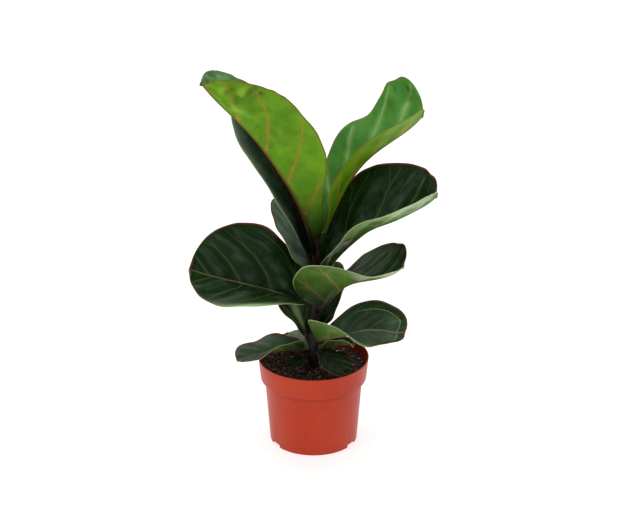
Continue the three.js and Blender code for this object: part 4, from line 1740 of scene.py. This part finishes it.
FOLIAGE = (
    Leaf(
        "leaf_top_left",
        z=222 * MM,
        azimuth=234,
        stalk=12 * MM,
        length=257 * MM,
        half=61 * MM,
        rise=(69, 70, 64, 58, 57, 53, 48, 48, 54),
        turn=(0, -10, -20, -24, -24),
        fold=((55, 48), (66, 34)),
        base=0.4,
        widest=0.58,
        trim=((0.8, 0.8, 0.94, 1.05, 1.01, 0.97, 0.98, 1.06, 1.06, 1, 1), (0.7, 1, 1, 1, 1)),
        age=Age.YOUNG,
        vein_gap=49 * MM,
        vein_start=0.4,
        vein_lean=(0.9, 1.05, 1.12, 1.4, 2.4),
        vein_bend=0.0,
        quilt=-2.4 * MM,
        pucker=(0.4 * MM, 0.6 * MM, 2.6 * MM, 3.0 * MM),
        painted_sheen=(0.4, 0.4),
        tone=1.12,
        tip_tone=0.78,
        painted_foot_shade=0.95,
        shade_run=115 * MM,
        dents=(
            Patch(s=0.93, out=0.42, depth=6 * MM, length=7 * MM, width=6 * MM),
            Patch(s=0.88, out=0.68, depth=6 * MM, length=8 * MM, width=7 * MM),
            Patch(s=0.835, out=0.3, depth=4 * MM, length=9 * MM, width=7 * MM),
            Patch(s=0.82, out=0.8, depth=-3.0 * MM, length=4 * MM, width=5 * MM),
            Patch(s=0.17, out=0.2, depth=2.2 * MM, length=4 * MM, width=9 * MM),
        ),
        stains_and_painted_light=(
            Patch(s=0.82, out=0.8, depth=0.8, length=2 * MM, width=2 * MM),
            Patch(s=0.945, out=0.5, depth=-0.4, length=4 * MM, width=7 * MM),
            Patch(s=0.89, out=0.77, depth=-0.45, length=4 * MM, width=8 * MM),
            Patch(s=0.81, out=0.18, depth=-0.35, length=9 * MM, width=7 * MM),
            Patch(s=0.915, out=0.62, depth=0.45, length=3 * MM, width=3 * MM),
            Patch(s=0.86, out=0.78, depth=0.35, length=3 * MM, width=9 * MM),
        ),
    ),
    Leaf(
        "leaf_top_right",
        z=228 * MM,
        azimuth=28,
        stalk=12 * MM,
        length=179 * MM,
        half=55 * MM,
        rise=(68, 64, 61, 51, 38, 36, 50),
        turn=(0, -10, -25, -28),
        fold=((42, 38, 42, 48), (34, 40, 38, 30)),
        widest=0.78,
        tip=4,
        sweep=(0, 0, 0, 0, 1 * MM, 8 * MM, 26 * MM),
        trim=((1, 1, 1, 0.98, 0.95, 0.98, 0.95, 0.81, 0.95, 0.98, 1.1), (0.6, 1.25, 1.02, 0.75, 0.6)),
        age=Age.YOUNG,
        vein_gap=33 * MM,
        vein_start=0.53,
        vein_lean=(0.9, 0.9),
        vein_bend=0.1,
        dents=(
            Patch(s=0.915, out=0.58, depth=4.5 * MM, length=7 * MM, width=12 * MM),
            Patch(s=0.84, out=0.7, depth=-1.6 * MM, length=6 * MM, width=12 * MM),
            Patch(s=0.5, out=0.5, depth=1.5 * MM, length=10 * MM, width=8 * MM),
        ),
        stains_and_painted_light=(
            Patch(s=0.94, out=0.75, depth=0.7, length=1.6 * MM, width=4 * MM),
            Patch(s=0.925, out=0.55, depth=0.6, length=3.5 * MM, width=2.5 * MM),
            Patch(s=0.88, out=0.88, depth=0.5, length=2 * MM, width=2.5 * MM),
            Patch(s=0.74, out=-0.53, depth=0.7, length=2 * MM, width=1.6 * MM),
        ),
        bulges=(
            Patch(s=0.855, out=1, depth=6 * MM, length=7 * MM, width=9 * MM),
            Patch(s=0.93, out=1, depth=2 * MM, length=6 * MM, width=9 * MM),
        ),
        end_round=0.55,
        notch=1 * MM,
        tone=1.12,
    ),
    Leaf(
        "leaf_upper_back_left",
        z=202 * MM,
        azimuth=138,
        stalk=12 * MM,
        length=192 * MM,
        half=52 * MM,
        rise=(67, 57, 49, 51),
        fold=((32, 25), (36, 22)),
        base=0.4,
        trim=((1, 1, 0.95, 0.93, 0.84), (1, 1)),
        painted_sheen=(1.2, 0.15, 0.0, 0.0, 0.0),
        tone=0.6,
        veined=0.15,
        stains_and_painted_light=(Patch(s=0.45, out=1, depth=-0.8, length=75 * MM, width=5 * MM),),
        painted_foot_shade=0.85,
        shade_run=120 * MM,
    ),
    Leaf(
        "leaf_middle_back_left",
        z=186 * MM,
        azimuth=120,
        stalk=11 * MM,
        length=97 * MM,
        half=33 * MM,
        rise=(60, 48, 40),
        fold=((35, 20), (42, 25)),
        vein_gap=18 * MM,
        painted_sheen=(1.2, 1.0, 0.8),
        tone=1.3,
        bulges=(Patch(s=0.24, out=1, depth=14 * MM, length=18 * MM, width=9 * MM),),
    ),
    Leaf(
        "leaf_upper_right",
        z=188 * MM,
        azimuth=-5,
        stalk=12 * MM,
        length=162 * MM,
        half=58 * MM,
        rise=(60, 54, 46, 40, 22, 28, 32, 46),
        fold=((50, 60), (30, 28)),
        base=0.45,
        widest=0.68,
        tip=3,
        sweep=(0, 0, 2 * MM, 38 * MM),
        trim=((1, 1.1, 1.2, 1.3, 1.25, 1.22, 1.12, 1.02, 0.89, 0.71, 0.7), (1, 1, 1, 0.9, 0.4)),
        vein_gap=39 * MM,
        vein_start=0.445,
        vein_lean=(0.9, 0.9),
        vein_bend=0.1,
        quilt=1.8 * MM,
        pucker=(0.5 * MM, 0.9 * MM, 0.9 * MM),
        end_round=0.8,
        notch=2 * MM,
        stains_and_painted_light=(Patch(s=0.75, out=-0.7, depth=-0.6, length=50 * MM, width=20 * MM),),
        bulges=(Patch(s=0.945, out=1, depth=-4 * MM, length=5 * MM, width=9 * MM),),
    ),
    Leaf(
        "leaf_middle_left",
        z=158 * MM,
        azimuth=192,
        stalk=11 * MM,
        length=141 * MM,
        half=55 * MM,
        rise=(30, 22, 19, 24),
        roll=(-33, -33),
        fold=((44, 30, 10), (33, 33)),
        base=0.6,
        widest=0.58,
        tip=3.2,
        trim=((1, 1, 1.03, 0.97, 0.88, 0.85), (1, 1.1, 1.23, 1.24, 1.13, 1, 0.92)),
        vein_gap=36 * MM,
        vein_start=0.5,
        vein_lean=(0.55, 0.55, 0.6, 0.8, 1.1),
        vein_bend=0.95,
        left_lag=0.11,
        quilt=2.4 * MM,
        tone=0.9,
        stains_and_painted_light=(Patch(s=0.5, out=1, depth=-1.3, length=36 * MM, width=5 * MM),),
        bulges=(Patch(s=0.2, out=-1, depth=9 * MM, length=20 * MM, width=9 * MM),),
    ),
    Leaf(
        "leaf_middle_front",
        z=146 * MM,
        azimuth=-38,
        stalk=10 * MM,
        length=122 * MM,
        half=50 * MM,
        rise=(57, 56, 42, 10, 14, 44),
        turn=(0, 0, 20, 38, 42, 45),
        fold=((55, 55, 20, 14, 26, 22), (60, 58, 50, 30, 28, 24)),
        base=0.78,
        tip=3,
        sweep=(-2 * MM, 8 * MM, 8 * MM, 4 * MM, 7 * MM, 20 * MM, 30 * MM),
        trim=(
            (0.7, 0.8, 0.7, 0.6, 0.5, 0.68, 0.9, 1, 0.92, 0.82, 0.9),
            (1.1, 1.15, 1.22, 1.2, 1.08, 1, 1, 0.9, 0.7, 0.4, 0.2),
        ),
        vein_gap=24 * MM,
        vein_start=0.03,
        vein_lean=(1.1, 1.1),
        vein_bend=0.0,
        right_lean=0.1,
        end_round=0.6,
        notch=2.5 * MM,
        stains_and_painted_light=(Patch(s=0.8, out=-0.7, depth=-0.55, length=30 * MM, width=20 * MM),),
        painted_foot_shade=0.9,
        shade_run=60 * MM,
    ),
    Leaf(
        "leaf_middle_back_right",
        z=120 * MM,
        azimuth=73,
        stalk=9 * MM,
        length=86 * MM,
        half=26 * MM,
        rise=(60, 44, 34),
        fold=((60, 45), (38, 20)),
        base=0.8,
        widest=0.45,
        trim=((0.4, 0.6, 1), (1.3, 1.12, 1)),
        vein_gap=18 * MM,
    ),
    Leaf(
        "leaf_lower_right",
        z=119 * MM,
        azimuth=-68,
        stalk=6 * MM,
        length=111 * MM,
        half=37 * MM,
        rise=(22, 26, 24, 12, -6, -18),
        turn=(0, 34, 58, 60, 60, 60),
        fold=((40, 35, 28, 26), (64, 62, 34, 0, -2, 0)),
        base=0.75,
        tip=2.6,
        trim=((0.4, 0.6, 0.87, 0.92, 0.96, 1), (1, 1.1, 1.25, 1.15, 1, 1)),
        vein_gap=26 * MM,
        dish=3.2 * MM,
        ring=0.6,
        bulges=(Patch(s=0.5, out=-1, depth=4.5 * MM, length=9 * MM, width=9 * MM),),
        stains_and_painted_light=(Patch(s=0.52, out=-1, depth=-0.9, length=14 * MM, width=4 * MM),),
        painted_sheen=(0.1, 0.15, 0.2, 0.25, 0.25),
    ),
    Leaf(
        "leaf_lower_back_left",
        z=111 * MM,
        azimuth=144,
        stalk=8 * MM,
        length=76 * MM,
        half=28 * MM,
        rise=(58, 50, 44),
        fold=((30, 20), (60, 50)),
        base=0.7,
        widest=0.5,
        trim=((1, 1), (0.5, 0.95, 0.9)),
        vein_gap=16 * MM,
        stains_and_painted_light=(Patch(s=0.36, out=-0.14, depth=-1.7, length=17 * MM, width=3.6 * MM),),
        tone=1.3,
    ),
    Leaf(
        "leaf_low_left",
        z=102 * MM,
        azimuth=198,
        stalk=7 * MM,
        length=83 * MM,
        half=24 * MM,
        rise=(28, 4, -6, -8),
        fold=((70, 30, 8), (45, 20)),
        base=0.6,
        widest=0.62,
        tip=2.6,
        sweep=(0, 0, 2 * MM),
        trim=((1, 1), (1, 1, 1, 1, 1, 0.93, 0.82, 0.72, 0.78, 0.92, 1)),
        vein_gap=16 * MM,
        painted_sheen=(0.5, 0.5),
        painted_foot_shade=0.85,
        shade_run=45 * MM,
        stains_and_painted_light=(Patch(s=0.95, out=0, depth=0.45, length=14 * MM, width=22 * MM),),
    ),
    Leaf(
        "leaf_low_back_left",
        z=97 * MM,
        azimuth=126,
        stalk=7 * MM,
        length=46 * MM,
        half=18 * MM,
        rise=(18, 6, 0),
        fold=((25, 15), (25, 15)),
        sweep=(0, 0, 2 * MM),
        wave=1 * MM,
        vein_gap=11 * MM,
        painted_sheen=(0.7, 0.7),
    ),
    Leaf(
        "leaf_low_right",
        z=103 * MM,
        azimuth=-14,
        stalk=6 * MM,
        length=42 * MM,
        half=12 * MM,
        rise=(40, 16, -8),
        fold=((30, 20), (60, 40)),
        base=0.6,
        widest=0.55,
        sweep=(0, 0, 2 * MM),
        wave=1 * MM,
        vein_gap=9 * MM,
    ),
    Leaf(
        "leaf_low_front",
        z=108 * MM,
        azimuth=-60,
        stalk=8 * MM,
        length=54 * MM,
        half=20 * MM,
        rise=(6, -14, -26),
        turn=(0, 8, 12),
        fold=((12, 8), (18, 12)),
        widest=0.58,
        sweep=(0, 0, 2 * MM),
        wave=1 * MM,
        vein_gap=11 * MM,
        veined=0.3,
        tone=0.6,
    ),
    Leaf(
        "leaf_low_front_left",
        z=97 * MM,
        azimuth=226,
        stalk=6 * MM,
        length=32 * MM,
        half=11 * MM,
        rise=(12, -8, -14),
        fold=((15, 10), (25, 15)),
        widest=0.55,
        sweep=(0, 0, 2 * MM),
        wave=1 * MM,
        vein_gap=9 * MM,
        veined=0.3,
        tone=0.55,
    ),
)

SHEATHS = (
    Sheath(z=226 * MM, azimuth=-70, length=24 * MM),
    Sheath(z=218 * MM, azimuth=20, length=22 * MM),
    Sheath(z=200 * MM, azimuth=-110, length=18 * MM),
)


@dataclass(frozen=True)
class SoftLight:
    """A square soft light that faces the plant."""

    name: str
    place: Spot  # metres
    size: float  # metres along a side
    power: float  # watts

    def hang(self, aim: Spot) -> None:
        """Hangs the light so that it faces a point.

        Args:
            aim: The point.
        """
        light = bpy.data.lights.new(self.name, "AREA")
        light.size = self.size
        light.energy = self.power
        holder = link_object(self.name, light)
        holder.location = self.place
        holder.rotation_euler = (Vector(self.place) - Vector(aim)).to_track_quat("Z", "Y").to_euler()


@dataclass
class Studio:
    """Pale floor, soft lights and the camera, at the photograph's angle."""

    aim: Spot = (7 * MM, 0.0, 215 * MM)
    distance: float = 2335 * MM
    elevation: float = 23.8  # degrees
    focal_pixels: float = 2200.0
    image_width: float = 640.0  # pixels
    sensor_width: float = 36.0  # millimetres
    floor_size: float = 12.0  # metres
    floor_colour: str = "#b8b8b6"
    floor_glow: float = 0.68  # light that comes through the floor from below
    surround: float = 0.2
    lights: Sequence[SoftLight] = (
        SoftLight("top_light", (0.0, 0.4, 2.2), size=3.2, power=64.0),
        SoftLight("left_light", (-1.6, -1.4, 1.3), size=1.2, power=10.0),
        SoftLight("front_light", (1.2, -2.2, 1.3), size=1.4, power=8.0),
    )

    def place_camera(self) -> None:
        """Places the camera and makes it the scene's own."""
        camera = bpy.data.cameras.new("camera")
        camera.sensor_width = self.sensor_width
        camera.lens = self.sensor_width * self.focal_pixels / self.image_width
        camera.clip_end = 50.0
        holder = link_object("camera", camera)
        lift = math.radians(self.elevation)
        back = Vector((0.0, -math.cos(lift), math.sin(lift)))
        holder.location = Vector(self.aim) + back * self.distance
        holder.rotation_euler = back.to_track_quat("Z", "Y").to_euler()
        bpy.context.scene.camera = holder

    def lay_floor(self) -> None:
        """Lays the floor: an opal acrylic light table, whose even glow from below leaves hardly a shadow."""
        bm = bmesh.new()
        bmesh.ops.create_grid(bm, x_segments=1, y_segments=1, size=self.floor_size / 2)
        floor = mesh_object("floor", bm)
        material, tree = new_material("opal_acrylic_light_table")
        constants = {
            "Base Color": hex_colour(self.floor_colour),
            "Roughness": 0.9,
            "Specular IOR Level": 0.2,
            "Emission Color": (1.0, 1.0, 1.0, 1.0),
            "Emission Strength": self.floor_glow,
        }
        set_shader(tree, {}, constants)
        floor.data.materials.append(material)

    def light_surround(self) -> None:
        """Makes the white surround."""
        world = bpy.data.worlds.new("white_surround")
        world.use_nodes = True
        background = world.node_tree.nodes["Background"]
        background.inputs["Color"].default_value = (1.0, 1.0, 1.0, 1.0)
        background.inputs["Strength"].default_value = self.surround
        bpy.context.scene.world = world

    def build(self) -> None:
        """Sets up the camera, the floor, the lights and the white surround."""
        self.place_camera()
        self.lay_floor()
        for light in self.lights:
            light.hang(self.aim)
        self.light_surround()
        bpy.context.scene.view_settings.view_transform = "Standard"


def main() -> None:
    """Builds the plant, its pot and the studio, and reports each piece."""
    logging.basicConfig(level=logging.INFO, format="%(name)s %(message)s")
    Studio().build()
    pot = Pot()
    pot.build(PotPlastic().build(pot.body_top - pot.band_shadow_drop))
    Soil().build(pot)
    stem = Stem()
    stem.build([leaf.z - leaf.foot_drop for leaf in FOLIAGE], STEM_BARK.build())
    dry = DRY_SHEATH.build()
    for sheath in SHEATHS:
        sheath.build(stem, dry)
    skins = {
        Age.YOUNG: [YOUNG_TOP.build(), YOUNG_UNDER.build()],
        Age.MATURE: [MATURE_TOP.build(), MATURE_UNDER.build()],
    }
    for leaf in FOLIAGE:
        leaf.build(stem, skins)
    bpy.context.view_layer.update()


if __name__ == "__main__":
    main()
